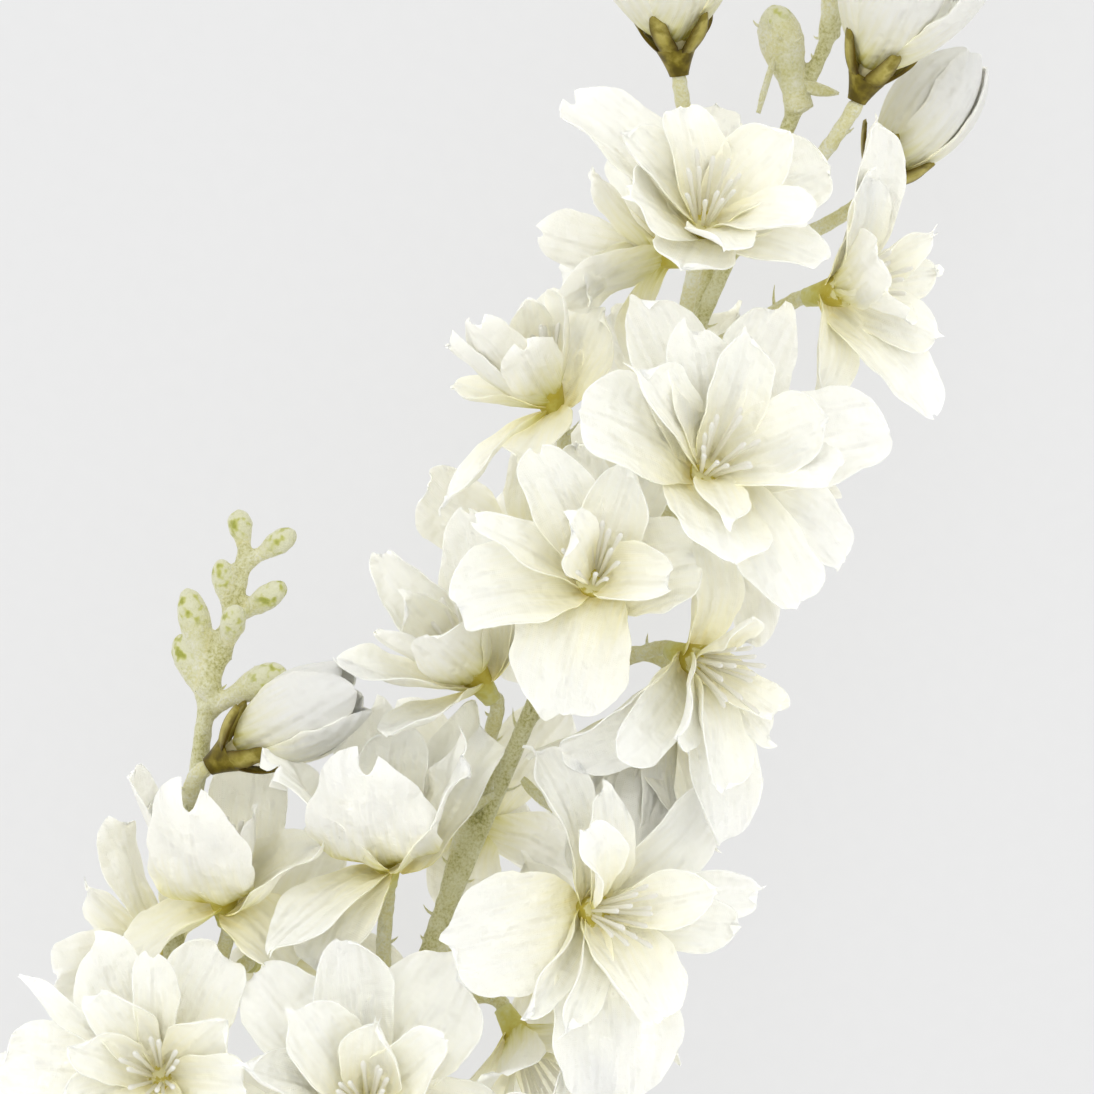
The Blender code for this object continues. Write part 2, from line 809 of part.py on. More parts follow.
def ring_of(spec, kind, made, draw):
    """The petals of one ring, from a list of their tips or from a count."""
    outer = kind == "outer"
    ring, size = spec[kind], spec["size"]
    if isinstance(ring, int):
        first = spec["roll"] + (0 if outer else 180 / ring)
        ring = [
            {
                "azimuth": first + 360 / ring * k + draw.uniform(-9, 9),
                "length": ((30.0 if outer else 22.5) + draw.uniform(-2.5, 2)) * size,
                "end": (84 if outer else 60) + draw.uniform(-22, 16),
                "width": ((15.0 if outer else 11.0) + draw.uniform(-1.5, 1.5)) * size,
            }
            for k in range(ring)
        ]
    petals = []
    for k, stated in enumerate(ring):
        petal = {
            "start": spec["opens"] - (0.0 if outer else 14.0),
            "bend": 0.7,
            "cup": draw.uniform(24, 48) + (0 if outer else 10),
            "claw": draw.choice((0.8, 0.95) if spec["behind"] or not outer else (0.55, 0.65, 0.8)),
            "point": draw.choice((0.26, 0.3, 0.36, 0.46)) if outer else draw.choice((0.26, 0.32, 0.4)),
            "root": NECK_LENGTH - (5.2 if outer else 3.8),
            "rings": (4 if outer else 3) - spec["behind"],
            "level": 1.1 * (k % 3) if outer else 3.3,
            "tilt": ROOT_TILT,
            "twist": draw.uniform(-16, 16),
            "swing": draw.uniform(-12, 12),
            "wave": draw.uniform(0.5, 1.4),
            "phase": draw.uniform(0, 6.3),
            "thick": PETAL_THICKNESS,
        } | stated
        petals.append(aimed(petal, made) if "tip" in petal else petal)
    return petals


def bloom_petals(spec):
    """A bloom's frame and base, and its petals before they are bent clear."""
    draw = random.Random(spec["seed"])
    frame = frame_of(turned(*spec["faces"]))
    made = {"frame": frame, "base": placed(*spec["at"]) - frame[2] * NECK_LENGTH}
    return made, ring_of(spec, "outer", made, draw) + ring_of(spec, "inner", made, draw)


# What a petal may do to clear its neighbours: close or open, swing aside, and be cut shorter
BENDS = sorted(
    (
        (lift, swing, share)
        for lift in range(-42, 43, 7)
        for swing in range(-24, 25, 8)
        for share in (1.0, 0.88, 0.76, 0.64)
    ),
    key=lambda move: (abs(move[0]) / 7 + abs(move[1]) / 8 + 14 * (1 - move[2]), move),
)


def bent(petal, move):
    lift, swing, share = move
    return petal | {
        "end": petal["end"] + lift,
        "start": petal["start"] + 0.4 * lift,
        "azimuth": petal["azimuth"] + swing,
        "length": petal["length"] * share,
    }


def tree_of(points, faces):
    return BVHTree.FromPolygons([tuple(p) for p in points], faces)


def tree_of_mesh(mesh):
    points = np.array([v.co[:] for v in mesh.vertices]) / MM
    return tree_of(points, [tuple(p.vertices) for p in mesh.polygons]), points.min(axis=0), points.max(axis=0)


def clear_petal(made, petal, obstacles):
    """The petal with the smallest bend that keeps it off all the obstacles, or None."""
    for move in BENDS:
        tried = bent(petal, move)
        points = petal_points(made, tried, PETAL_GAP)
        low, high = points.min(axis=0), points.max(axis=0)
        tree = None
        for other, other_low, other_high in obstacles:
            if (low > other_high).any() or (high < other_low).any():
                continue
            tree = tree or tree_of(points, BLANKS[petal["rings"]][1])
            if tree.overlap(other):
                break
        else:
            return tried
    return None


def cleared(made, petals, obstacles):
    """The solids of the petals, each bent clear of the obstacles."""
    bends = [clear_petal(made, petal, obstacles) for petal in petals]
    return [petal_mesh(petal_points(made, clear), clear["rings"]) for clear in bends if clear]


def cone_mesh(base, frame, low, high, radius_low, radius_high, sides):
    """A cone along the third direction of the frame, from low to high above the base."""
    bm = bmesh.new()
    bmesh.ops.create_cone(
        bm, cap_ends=True, segments=sides, radius1=radius_low, radius2=radius_high, depth=high - low
    )
    for v in bm.verts:
        local = np.array(v.co[:]) + np.array([0.0, 0.0, (high + low) / 2])
        v.co = Vector(local @ frame + base)
    return mesh_of(bm, "cone")


def neck_mesh(made):
    return cone_mesh(made["base"], made["frame"], 0.0, NECK_LENGTH, STALK_RADIUS, NECK_RADIUS, 6)


def stamen_meshes(made, spec):
    """A few stout stamens, leaning out of the throat and kept over the surface."""
    draw = random.Random(spec["seed"] + 1000)
    meshes = []
    count = 1 if spec["behind"] else 3
    for k in range(count):
        angle = math.radians(360 / count * k + draw.uniform(-25, 25))
        lean = math.radians(draw.uniform(3, 12))
        way = np.array([math.cos(angle) * math.sin(lean), math.sin(angle) * math.sin(lean), math.cos(lean)])
        way = way @ made["frame"]
        tip = NECK_LENGTH + draw.uniform(*STAMEN_REACH)
        if way[2] < 0:
            tip = min(tip, (made["base"][2] - 2 * STAMEN_RADIUS) / -way[2])
        if tip > NECK_LENGTH:
            foot = NECK_LENGTH - STAMEN_SUNK
            blunt = STAMEN_RADIUS * 0.75
            meshes.append(cone_mesh(made["base"], frame_of(way), foot, tip, STAMEN_RADIUS, blunt, 3))
    return meshes


# Half-open buds


def bud(name, at, faces, seed, length=28.5, width=17.0, tip=0.0, petals=5, stem="main", drop=18.0):
    """A bud whose calyx foot is at a place in the view. tip is its petals' end angle, under 0 when closed."""
    return locals()


BUDS = (
    bud("1", at=(23.4, 84.4, 10.0), faces=(-0.12, 0.97, 0.2), tip=12.0, width=19.0, drop=26.0, seed=31),
    bud("2", at=(55.1, 79.6, 12.0), faces=(0.38, 0.9, 0.25), length=31.0, drop=24.0, seed=32),
    bud("3", at=(57.8, 64.0, -2.0), faces=(0.6, 0.8, -0.05), tip=-38.0, length=30.0, width=14.0, seed=33),
    bud("4", at=(-59.5, -38.6, 11.5), faces=(0.86, 0.5, 0.1), tip=-24.0, stem="branch", drop=8.0, seed=34),
    bud("5", at=(50.0, 112.0, 5.0), faces=(-0.35, 0.9, 0.2), tip=-40.0, length=24.0, width=12.0, seed=35),
    bud("6", at=(71.0, 122.0, 4.0), faces=(0.75, 0.7, 0.2), tip=-42.0, length=22.0, width=11.0, seed=36),
)
BUD_FOOT = 3.0
CALYX_RADIUS = 3.4
LOBE_LENGTH = 12.0
LOBE_WIDTH = 3.8
LOBE_ROOT = 1.2
BUD_ROOT = 1.6
PEG_LENGTH = 4.0
PEG_RADII = (1.6, 2.6)


def bud_petals(spec):
    """The bud's frame and base, its white petals, and the calyx lobes that lie over them."""
    draw = random.Random(spec["seed"])
    frame = frame_of(turned(*spec["faces"]))
    made = {"frame": frame, "base": placed(*spec["at"])}
    petals, lobes = [], []
    for k in range(spec["petals"]):
        common = {
            "azimuth": 360 / spec["petals"] * k + draw.uniform(-5, 5) + 17 * spec["seed"],
            "bend": 0.8,
            "claw": 0.7,
            "point": 0.5,
            "wave": 0.2,
            "phase": 0.0,
            "swing": 0.0,
            "level": 0.0,
            "tilt": 9.0,
            "twist": 9.0,
        }
        petals.append(
            common
            | {
                "length": spec["length"] + draw.uniform(-1.5, 1.5),
                "width": spec["width"] + draw.uniform(-1, 1),
                "start": 62.0,
                "end": spec["tip"] + draw.uniform(-4, 4),
                "cup": 62.0,
                "root": BUD_FOOT + BUD_ROOT,
                "rings": 3,
                "thick": PETAL_THICKNESS,
            }
        )
        lobes.append(
            common
            | {
                "azimuth": common["azimuth"] + 14,
                "length": LOBE_LENGTH,
                "width": LOBE_WIDTH,
                "start": 72.0,
                "end": 10.0,
                "bend": 0.6,
                "cup": 30.0,
                "tilt": 0.0,
                "twist": 0.0,
                "claw": 0.25,
                "point": 0.3,
                "root": BUD_FOOT - LOBE_ROOT,
                "rings": 2,
                "thick": LOBE_THICKNESS,
            }
        )
    return made, petals, lobes


# The stem with everything green that grows from it


def stalk_mesh(foot, head, leaves, arrives, radius):
    """A flower stalk from the stem to a flower's base, bent to leave and arrive in two given directions.

    It runs straight between three points of a Bezier curve and along a collar that holds the flower.
    """
    collar = head - arrives * STALK_COLLAR
    reach = float(np.linalg.norm(collar - foot))
    a, b = foot + leaves * reach * 0.4, collar - arrives * reach * 0.35
    points = []
    for u in np.linspace(0, 1, 3):
        points.append((1 - u) ** 3 * foot + 3 * (1 - u) ** 2 * u * a + 3 * (1 - u) * u**2 * b + u**3 * collar)
    return tube([*points, head], [radius] * 4, 4)


def stalk_to(made, spec):
    """The stalk that carries a flower, ending the seat's gap under its base."""
    line = MAIN_LINE if spec["stem"] == "main" else BRANCH_LINE
    head = made["base"] - made["frame"][2] * SEAT_GAP
    foot = stem_at(line, head[1] - spec["drop"])
    out = head - foot
    out[1] = 0.0
    leaves = unit(unit(out) * 0.8 + np.array([0.0, 0.6, 0.0]))
    return stalk_mesh(foot, head, leaves, made["frame"][2], STALK_RADIUS)


# How far along a green bud each ring of it is, and the ring's share of its radius
CLUB_RINGS = ((0.0, 0.0), (0.2, 0.55), (0.62, 1.06), (0.9, 0.72), (1.0, 0.0))


def club_mesh(foot, tip, radius):
    """A green bud: a five-sided egg on a short stalk."""
    frame = frame_of(tip - foot)
    length = float(np.linalg.norm(tip - foot))
    bm = bmesh.new()
    bmesh.ops.create_uvsphere(bm, u_segments=5, v_segments=len(CLUB_RINGS) - 1, radius=1.0)
    for v in bm.verts:
        ring = round(math.acos(max(-1.0, min(1.0, -v.co.z))) / math.pi * (len(CLUB_RINGS) - 1))
        share, girth = CLUB_RINGS[ring]
        flat = math.hypot(v.co.x, v.co.y)
        x, y = (v.co.x / flat, v.co.y / flat) if girth else (0.0, 0.0)
        local = np.array([x * girth * radius, y * girth * radius, share * length])
        v.co = Vector(local @ frame + foot)
    return mesh_of(bm, "club")


def bract_mesh(foot, tip, width):
    way = unit(tip - foot)
    made = {"frame": frame_of(way), "base": foot}
    petal = {
        "azimuth": 0.0, "length": float(np.linalg.norm(tip - foot)), "width": width, "start": 0.0, "end": 0.0,
        "bend": 1.0, "cup": 30.0, "claw": 0.5, "point": 0.8, "root": 0.0, "rings": 2, "thick": 0.9,
        "tilt": 0.0, "twist": 0.0, "swing": 0.0, "wave": 0.0, "phase": 0.0, "level": 0.0,
    }  # fmt: skip
    return petal_mesh(petal_points(made, petal), 2)


def tip_bud_meshes():
    """Buds that shrink towards the tip, each turned the golden angle from the last."""
    meshes = []
    for k in range(TIP_BUDS):
        share = k / (TIP_BUDS - 1)
        foot = stem_at(MAIN_LINE, TIP_FROM + (TIP_TO - TIP_FROM) * share)
        angle = math.radians(GOLDEN_ANGLE * k + TIP_BUD_START)
        way = unit(np.array([math.cos(angle), np.interp(share, (0, 1), TIP_BUD_LEAN), math.sin(angle)]))
        length = np.interp(share, (0, 1), TIP_BUD_LENGTHS)
        meshes.append(club_mesh(foot, foot + way * length, TIP_BUD_RADIUS * (1.0 - 0.37 * share)))
    return meshes


def build_stem(carried):
    """The union of everything green. An eight-sided tube is a tenth stouter, so that it holds as much."""
    thin = np.vstack([MAIN_LINE[:-4:7], MAIN_LINE[-1]])
    meshes = [tube(thin, np.linspace(STEM_RADIUS * 1.1, TIP_RADIUS, len(thin)), 8)]
    thin = np.vstack([BRANCH_LINE[:-3:5], BRANCH_LINE[-1]])
    meshes.append(tube(thin, np.linspace(BRANCH_RADIUS * 1.1, BRANCH_RADIUS * 0.75, len(thin)), 8))
    meshes += [stalk_to(made, spec) for made, spec in carried]
    meshes += [club_mesh(placed(*foot), placed(*tip), radius) for foot, tip, radius in GREEN_BUDS]
    meshes += tip_bud_meshes()
    meshes += [bract_mesh(placed(*foot), placed(*tip), width) for foot, tip, width in BRACTS]
    return joined("stem", meshes, GREEN)


for old in list(bpy.data.objects):
    bpy.data.objects.remove(old)
SPIKE = bpy.data.collections.new("delphinium_spike")
bpy.context.scene.collection.children.link(SPIKE)
WHITE = material("petal_cloth", (0.9, 0.91, 0.86), 0.75)
GREEN = material("flocked_green", (0.55, 0.6, 0.3), 0.9)
OLIVE = material("calyx_plastic", (0.12, 0.08, 0.02), 0.45)

blooms = [(spec, *bloom_petals(spec)) for spec in BLOOMS]
buds = [(spec, *bud_petals(spec)) for spec in BUDS]
stem = build_stem([(made, spec) for spec, made, *_ in blooms + buds])

# A petal keeps off the stem, the other blooms' necks, and every bud and bloom made before it
obstacles = {"stem": tree_of_mesh(stem.data)}
for spec, made, *_ in blooms:
    obstacles[spec["name"]] = tree_of_mesh(neck_mesh(made))

for spec, made, petals, lobes in buds:
    peg = cone_mesh(made["base"], made["frame"], BUD_FOOT + SEAT_GAP, BUD_FOOT + PEG_LENGTH, *PEG_RADII, 6)
    body = joined("bud_" + spec["name"], [peg, *cleared(made, petals, list(obstacles.values()))], WHITE)
    obstacles[body.name] = tree_of_mesh(body.data)
    cup = cone_mesh(made["base"], made["frame"], 0.0, BUD_FOOT, STALK_RADIUS, CALYX_RADIUS, 8)
    calyx = joined("calyx_" + spec["name"], [cup, *cleared(made, lobes, list(obstacles.values()))], OLIVE)
    obstacles[calyx.name] = tree_of_mesh(calyx.data)

for spec, made, petals in blooms:
    others = [tree for name, tree in obstacles.items() if name != spec["name"]]
    meshes = [neck_mesh(made), *cleared(made, petals, others), *stamen_meshes(made, spec)]
    body = joined(spec["name"], meshes, WHITE)
    obstacles[spec["name"]] = tree_of_mesh(body.data)
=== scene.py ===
"""The silk delphinium spike as it looks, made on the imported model's own frame.

The spike lies on a pale surface and the camera looks down on it. Sizes are in millimetres and angles in
degrees, as in the part's source, and points become metres as meshes are made.
"""

import json
import math
import random

import bpy
import numpy as np
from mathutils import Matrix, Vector
from mathutils.bvhtree import BVHTree
from mathutils.kdtree import KDTree

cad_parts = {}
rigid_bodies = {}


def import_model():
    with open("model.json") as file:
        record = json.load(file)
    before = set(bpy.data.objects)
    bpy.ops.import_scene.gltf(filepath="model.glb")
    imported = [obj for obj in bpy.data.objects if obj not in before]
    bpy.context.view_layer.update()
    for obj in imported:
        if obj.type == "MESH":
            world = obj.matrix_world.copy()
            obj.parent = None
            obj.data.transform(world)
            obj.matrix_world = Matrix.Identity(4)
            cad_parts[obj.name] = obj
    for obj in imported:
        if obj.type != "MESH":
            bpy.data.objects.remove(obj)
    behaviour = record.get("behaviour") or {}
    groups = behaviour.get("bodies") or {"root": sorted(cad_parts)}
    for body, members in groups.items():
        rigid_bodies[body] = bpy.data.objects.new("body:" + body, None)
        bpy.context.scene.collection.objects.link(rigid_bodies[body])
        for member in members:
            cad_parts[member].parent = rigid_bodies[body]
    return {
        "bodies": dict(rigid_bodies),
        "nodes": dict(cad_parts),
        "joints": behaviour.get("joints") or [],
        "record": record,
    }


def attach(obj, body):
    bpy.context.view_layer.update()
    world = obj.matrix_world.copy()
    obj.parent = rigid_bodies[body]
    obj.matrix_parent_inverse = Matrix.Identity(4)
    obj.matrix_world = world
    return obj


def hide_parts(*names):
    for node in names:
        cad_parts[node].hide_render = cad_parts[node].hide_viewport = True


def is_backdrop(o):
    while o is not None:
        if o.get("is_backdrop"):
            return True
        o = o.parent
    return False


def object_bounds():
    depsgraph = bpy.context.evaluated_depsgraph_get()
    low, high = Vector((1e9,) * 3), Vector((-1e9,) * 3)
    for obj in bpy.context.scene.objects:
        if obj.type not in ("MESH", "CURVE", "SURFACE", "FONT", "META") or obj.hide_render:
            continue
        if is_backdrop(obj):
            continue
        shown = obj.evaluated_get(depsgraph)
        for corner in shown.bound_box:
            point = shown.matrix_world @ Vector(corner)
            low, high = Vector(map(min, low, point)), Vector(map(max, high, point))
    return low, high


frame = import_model()
cad_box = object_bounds()


# The view. The spike lies along +Y, and the photograph shows it leaning to the right of upright, so the
# camera looks straight down and is turned by that lean. A place in the view is right, up and near, from the
# middle of the photograph at the height of the flowers.

MM = 0.001
LEAN = 23.4
VIEW_MIDDLE = (-6.5, 93.0)
STEM_RISE = 31.0
VIEW_WIDTH = 197.0
LENS = 135.0
SENSOR = 36.0


def turned(right, up, near):
    """A direction in the view, turned into the spike's own frame."""
    lean = math.radians(LEAN)
    return np.array(
        [
            right * math.cos(lean) - up * math.sin(lean),
            right * math.sin(lean) + up * math.cos(lean),
            near,
        ]
    )


def placed(right, up, near):
    """A place in the view, turned into the spike's own frame."""
    return turned(right, up, near) + np.array([*VIEW_MIDDLE, STEM_RISE])


eye = bpy.data.cameras.new("eye")
eye.lens = LENS
eye.sensor_width = SENSOR
camera = bpy.data.objects.new("camera", eye)
camera.location = Vector(placed(0.0, 0.0, VIEW_WIDTH * LENS / SENSOR) * MM)
camera.rotation_euler = (0.0, 0.0, math.radians(LEAN))
bpy.context.scene.collection.objects.link(camera)
bpy.context.scene.camera = camera


# Open blooms. Each is a silk bloom: petals die-cut from white polyester cloth and pressed in a hot mould,
# two rings of them glued into a dyed plastic neck, with a tuft of cream plastic stamens in the throat. The
# neck slips onto a stalk of the stem.

ROOT_TILT = 12.0
NECK_LENGTH = 7.5
NECK_RADIUS = 3.1
STALK_RADIUS = 1.6
FLOOR_GAP = 0.42
FLOOR_SOFTNESS = 4.0
RING_PLACES = {
    2: (0.0, 0.5, 0.88, 1.0),
    3: (0.0, 0.36, 0.7, 0.93, 1.0),
    4: (0.0, 0.28, 0.56, 0.81, 0.955, 1.0),
}


# A petal seen aslant and curved is this much wider when laid flat
FLATTENED = 1.18


def to(right, up, near, width, **more):
    """A petal whose tip is at a place in the view. more may state its start, cup, twist or point."""
    return {"tip": (right, up, near), "width": width * FLATTENED, **more}


def flower(
    name, at, faces, seed, size=1.0, roll=0.0, outer=5, inner=4, opens=44.0, stem="main", drop=20.0,
    behind=False,
):  # fmt: skip
    """A bloom whose throat is at a place in the view and which faces a direction there.

    outer and inner are a count of petals, which a seeded draw then varies, or a list of them by their tips.
    opens is the angle from its axis at which the outer petals leave the throat. drop is how far down the
    stem its stalk leaves it. A bloom behind the others has petals of fewer faces in the solid, whose edges
    are sought at those faces' places.
    """
    return locals()


BLOOMS = (
    flower(
        "bloom_01", at=(28.3, 13.9, 21.0), faces=(0.3, 0.42, 0.86), seed=1,
        outer=(
            to(16.7, 43.6, 17, 13.0), to(40.1, 42.0, 14, 13.0), to(60.3, 21.0, 14, 15.0, cup=24),
            to(52.7, -2.3, 4, 11.0), to(43.7, -10.3, 22, 12.0, twist=16),
            to(31.5, -1.4, 37, 15.0, cup=20, point=0.5), to(6.0, 24.2, 31, 15.5, cup=26, point=0.3),
        ),
        inner=(
            to(25.2, 37.8, 27, 11.5, cup=50), to(35.1, 36.9, 27, 11.5, cup=50), to(49.1, 22.5, 29, 11.5),
            to(50.6, 14.0, 31, 9.0), to(15.3, 30.6, 33, 10.0), to(32.2, 4.2, 35, 7.5),
        ),
    ),
    flower(
        "bloom_02", at=(8.0, -5.2, 22.0), faces=(0.0, 0.42, 0.9), seed=2,
        outer=(
            to(2.2, -28.8, 27, 17.0, cup=22), to(-16.0, -9.6, 26, 15.0, cup=26),
            to(-11.9, 4.5, 31, 8.0, cup=60, point=0.7), to(5.0, 18.6, 16, 10.0), to(18.6, 14.0, 14, 11.0),
            to(26.0, -2.4, 24, 15.0),
        ),
        inner=(
            to(-1.3, 16.0, 26, 11.0), to(14.9, 14.6, 27, 11.0), to(20.8, -5.4, 33, 11.0, cup=60),
            to(3.6, 4.4, 41, 9.0, cup=24, start=10),
        ),
    ),
    flower(
        "bloom_03", at=(27.6, 57.6, 20.0), faces=(0.1, 0.62, 0.78), seed=3,
        outer=(
            to(5.0, 78.6, 14, 14.0), to(30.0, 78.6, 4, 8.0), to(35.0, 74.6, 10, 7.5),
            to(50.0, 67.0, 16, 14.0, cup=44), to(48.2, 49.4, 27, 9.0, twist=20),
            to(22.6, 46.4, 37, 12.0, cup=20), to(14.0, 60.4, 34, 13.0, cup=24),
        ),
        inner=(
            to(12.4, 71.6, 26, 11.5, cup=54), to(23.2, 77.0, 22, 10.0), to(42.5, 72.5, 23, 11.5),
            to(44.0, 56.0, 34, 9.0), to(31.0, 50.6, 38, 10.0, cup=30),
        ),
    ),
    flower(
        "bloom_04", at=(-28.2, -53.0, 12.0), faces=(0.02, 0.88, 0.46), drop=24, opens=64.0, seed=4,
        outer=(
            to(-44.4, -35.2, 18, 14.5, claw=0.45), to(-12.4, -31.6, 8, 14.0, claw=0.45),
            to(-48.0, -70.6, 20, 11.0, cup=24, start=70), to(-39.8, -75.4, 14, 14.0, cup=24, start=74),
            to(-32.0, -29.0, 2, 14.0),
        ),
        inner=(
            to(-31.2, -38.6, 31, 19.0, cup=24, start=70, claw=0.45), to(-26.5, -31.6, 16, 11.0),
            to(-16.6, -36.4, 24, 14.0, start=64, claw=0.45),
        ),
    ),
    flower(
        "bloom_05", at=(9.2, -64.0, 20.0), faces=(0.62, 0.0, 0.78), seed=5,
        outer=(
            to(-16.8, -69.2, 28, 17.0, cup=20), to(10.6, -97.6, 18, 21.0, cup=18, point=0.35),
            to(37.8, -61.4, 8, 9.0, twist=20), to(-2.0, -36.0, 17, 10.0, cup=50), to(30.0, -42.0, 4, 13.0),
            to(-4.4, -81.5, 31, 7.0, cup=70),
        ),
        inner=(
            to(18.5, -82.4, 27, 15.0, cup=50), to(3.0, -84.0, 32, 7.5), to(34.0, -66.8, 17, 9.0),
            to(29.4, -60.0, 24, 9.0, cup=60), to(9.5, -42.4, 24, 8.5), to(7.6, -48.0, 38, 8.0, cup=70),
        ),
    ),
    flower(
        "bloom_06", at=(-31.3, -97.4, 22.0), faces=(-0.02, 0.36, 0.93), seed=6,
        outer=(
            to(-51.4, -74.4, 19, 14.5), to(-36.0, -69.0, 14, 14.0), to(-15.0, -73.2, 21, 17.5, cup=24),
            to(-7.0, -106.0, 24, 15.0), to(-36.0, -124.0, 22, 16.0),
            to(-53.4, -89.6, 33, 9.0, cup=60, twist=20),
        ),
        inner=(
            to(-29.0, -81.4, 33, 10.5), to(-43.0, -79.6, 31, 12.0), to(-17.5, -84.6, 33, 10.5, cup=60),
            to(-18.0, -111.0, 34, 11.0), to(-45.0, -106.0, 34, 10.0),
        ),
    ),
    flower(
        "bloom_07", at=(-68.0, -92.8, 19.0), faces=(-0.02, 0.22, 0.96), stem="branch", seed=7,
        outer=(
            to(-79.4, -69.4, 19, 12.0), to(-91.8, -74.4, 26, 5.0, cup=70, point=0.7),
            to(-96.0, -91.6, 18, 15.0), to(-78.0, -118.0, 22, 16.0), to(-46.0, -110.0, 18, 15.0),
            to(-54.6, -72.6, 18, 14.0),
        ),
        inner=(
            to(-77.4, -77.6, 29, 9.0), to(-68.4, -71.6, 26, 8.0, cup=60), to(-55.3, -81.8, 29, 9.5),
            to(-52.5, -93.0, 30, 9.0), to(-67.0, -109.0, 31, 11.0), to(-84.5, -96.6, 31, 10.0),
            to(-82.4, -85.8, 33, 8.0),
        ),
    ),
    flower(
        "bloom_08", at=(27.4, -20.4, 12.0), faces=(0.66, -0.24, 0.7), seed=8,
        outer=(
            to(1.0, -34.0, 18, 14.0, cup=50), to(12.4, -36.4, 30, 9.0, cup=30, twist=24),
            to(39.8, -33.7, 10, 10.0, point=0.65), to(31.0, -52.6, 12, 13.0), to(26.0, 4.0, 12, 12.0),
        ),
        inner=(
            to(22.4, -33.0, 31, 10.0, cup=30), to(30.6, -42.6, 25, 11.0, cup=60), to(40.6, -28.6, 17, 7.0),
            to(36.0, -12.0, 24, 8.0),
        ),
    ),
    flower(
        "bloom_09", at=(53.0, 46.0, 6.0), faces=(0.78, 0.14, 0.6), seed=9,
        outer=(
            to(52.4, 77.0, 3, 12.0), to(69.0, 23.6, 6, 13.0, point=0.35, cup=24), to(45.6, 24.0, 12, 10.0),
            to(71.4, 50.2, -3, 9.0, point=0.65), to(69.8, 37.2, 2, 9.0),
        ),
        inner=(
            to(57.4, 50.6, 26, 11.0, cup=26), to(58.0, 66.0, 10, 9.0), to(63.2, 40.6, 20, 9.5, cup=50),
            to(68.6, 56.0, 9, 7.0),
        ),
    ),
    flower(
        "bloom_10", at=(-0.4, 29.0, 6.0), faces=(-0.32, 0.84, 0.42), drop=26, opens=64.0, seed=10,
        outer=(
            to(-16.8, 36.6, 14, 10.5, cup=50), to(-17.4, 28.0, 4, 10.0), to(10.6, 42.6, 4, 14.0, cup=30),
            to(-17.4, 6.4, 16, 6.0, cup=60, start=80), to(-4.2, 14.6, 18, 10.0, cup=24, start=80),
            to(2.3, 46.6, -4, 10.0),
        ),
        inner=(
            to(-12.4, 39.6, 20, 9.5), to(-5.4, 42.8, 12, 8.0), to(3.0, 44.2, 12, 8.0),
            to(-4.0, 34.6, 24, 9.0, cup=30),
        ),
    ),
    flower(
        "bloom_11", at=(-14.0, -21.4, 6.0), faces=(-0.5, 0.72, 0.46), drop=42, opens=64.0, seed=11,
        outer=(
            to(-38.0, -24.6, 14, 13.0, cup=30, start=64), to(-29.6, -1.2, 6, 10.5, cup=60, point=0.65),
            to(-14.0, 6.0, 2, 13.0), to(1.0, -6.0, 4, 13.0), to(-25.0, -39.0, 20, 12.0, start=78),
        ),
        inner=(
            to(-25.4, -8.6, 12, 9.0), to(-20.0, -15.6, 24, 11.0, cup=44), to(-11.0, -4.0, 14, 10.0),
            to(-30.0, -15.0, 16, 9.0),
        ),
    ),
    flower(
        "bloom_12", at=(-57.8, -60.0, 10.0), faces=(-0.08, 0.88, 0.46), stem="branch", drop=18, opens=64.0,
        seed=12,
        outer=(
            to(-77.6, -41.8, 16, 11.0, cup=50, point=0.65, claw=0.5), to(-42.0, -52.2, 14, 14.0, claw=0.45),
            to(-70.0, -38.0, 0, 12.0), to(-52.0, -36.0, 0, 12.0), to(-74.0, -72.0, 10, 11.0, start=76),
            to(-47.0, -76.0, 12, 12.0, start=78),
        ),
        inner=(
            to(-61.8, -45.8, 26, 16.0, cup=24, start=70, claw=0.45), to(-50.6, -46.6, 18, 10.0),
            to(-70.0, -46.0, 14, 10.0),
        ),
    ),
    flower(
        "bloom_13", at=(19.0, 53.5, -5.0), faces=(-0.8, 0.15, -0.1), inner=4, behind=True, seed=13,
        outer=(
            to(-0.6, 56.4, -1, 9.0), to(4.6, 40.6, 8, 9.0, cup=30), to(14.0, 74.0, -14, 13.0),
            to(2.0, 52.0, -24, 13.0), to(20.0, 32.0, -12, 13.0),
        ),
    ),
    flower(
        "bloom_14", at=(35.0, 8.0, -10.0), faces=(0.7, 0.0, -0.5), size=0.92, inner=3, behind=True, seed=14,
    ),
    flower(
        "bloom_15", at=(19.0, -31.0, 3.0), faces=(-0.35, -0.8, 0.25), drop=8, behind=True, seed=15,
        outer=(
            to(-1.4, -37.5, 13, 12.0, cup=40), to(4.0, -60.0, 8, 12.0, cup=30), to(20.0, -57.0, 12, 11.0),
            to(32.0, -53.0, 3, 12.0), to(0.0, -48.0, -10, 12.0),
        ),
        inner=(
            to(9.0, -51.0, 12, 8.0), to(14.5, -54.0, 15, 9.0), to(24.5, -48.0, 12, 9.0),
            to(8.0, -44.0, 2, 9.0),
        ),
    ),
    flower(
        "bloom_16", at=(-4.0, -90.0, 0.0), faces=(0.3, -0.5, 0.2), size=0.98, inner=3, drop=10, behind=True,
        seed=16,
    ),
    flower(
        "bloom_17", at=(-70.0, -74.0, -4.0), faces=(-0.6, 0.0, -0.4), size=0.9, inner=3, stem="branch",
        behind=True, seed=17,
    ),
    flower(
        "bloom_18", at=(-50.0, -74.0, -6.0), faces=(0.4, 0.1, -0.8), size=0.9, inner=3, stem="branch",
        behind=True, seed=18,
    ),
    flower(
        "bloom_19", at=(-14.0, -50.0, -18.0), faces=(-0.1, 0.25, -0.95), size=0.96, inner=3, behind=True,
        seed=19,
    ),
    flower(
        "bloom_20", at=(22.0, 22.0, -20.0), faces=(0.1, 0.2, -0.95), size=0.92, roll=36, inner=3,
        behind=True, seed=20,
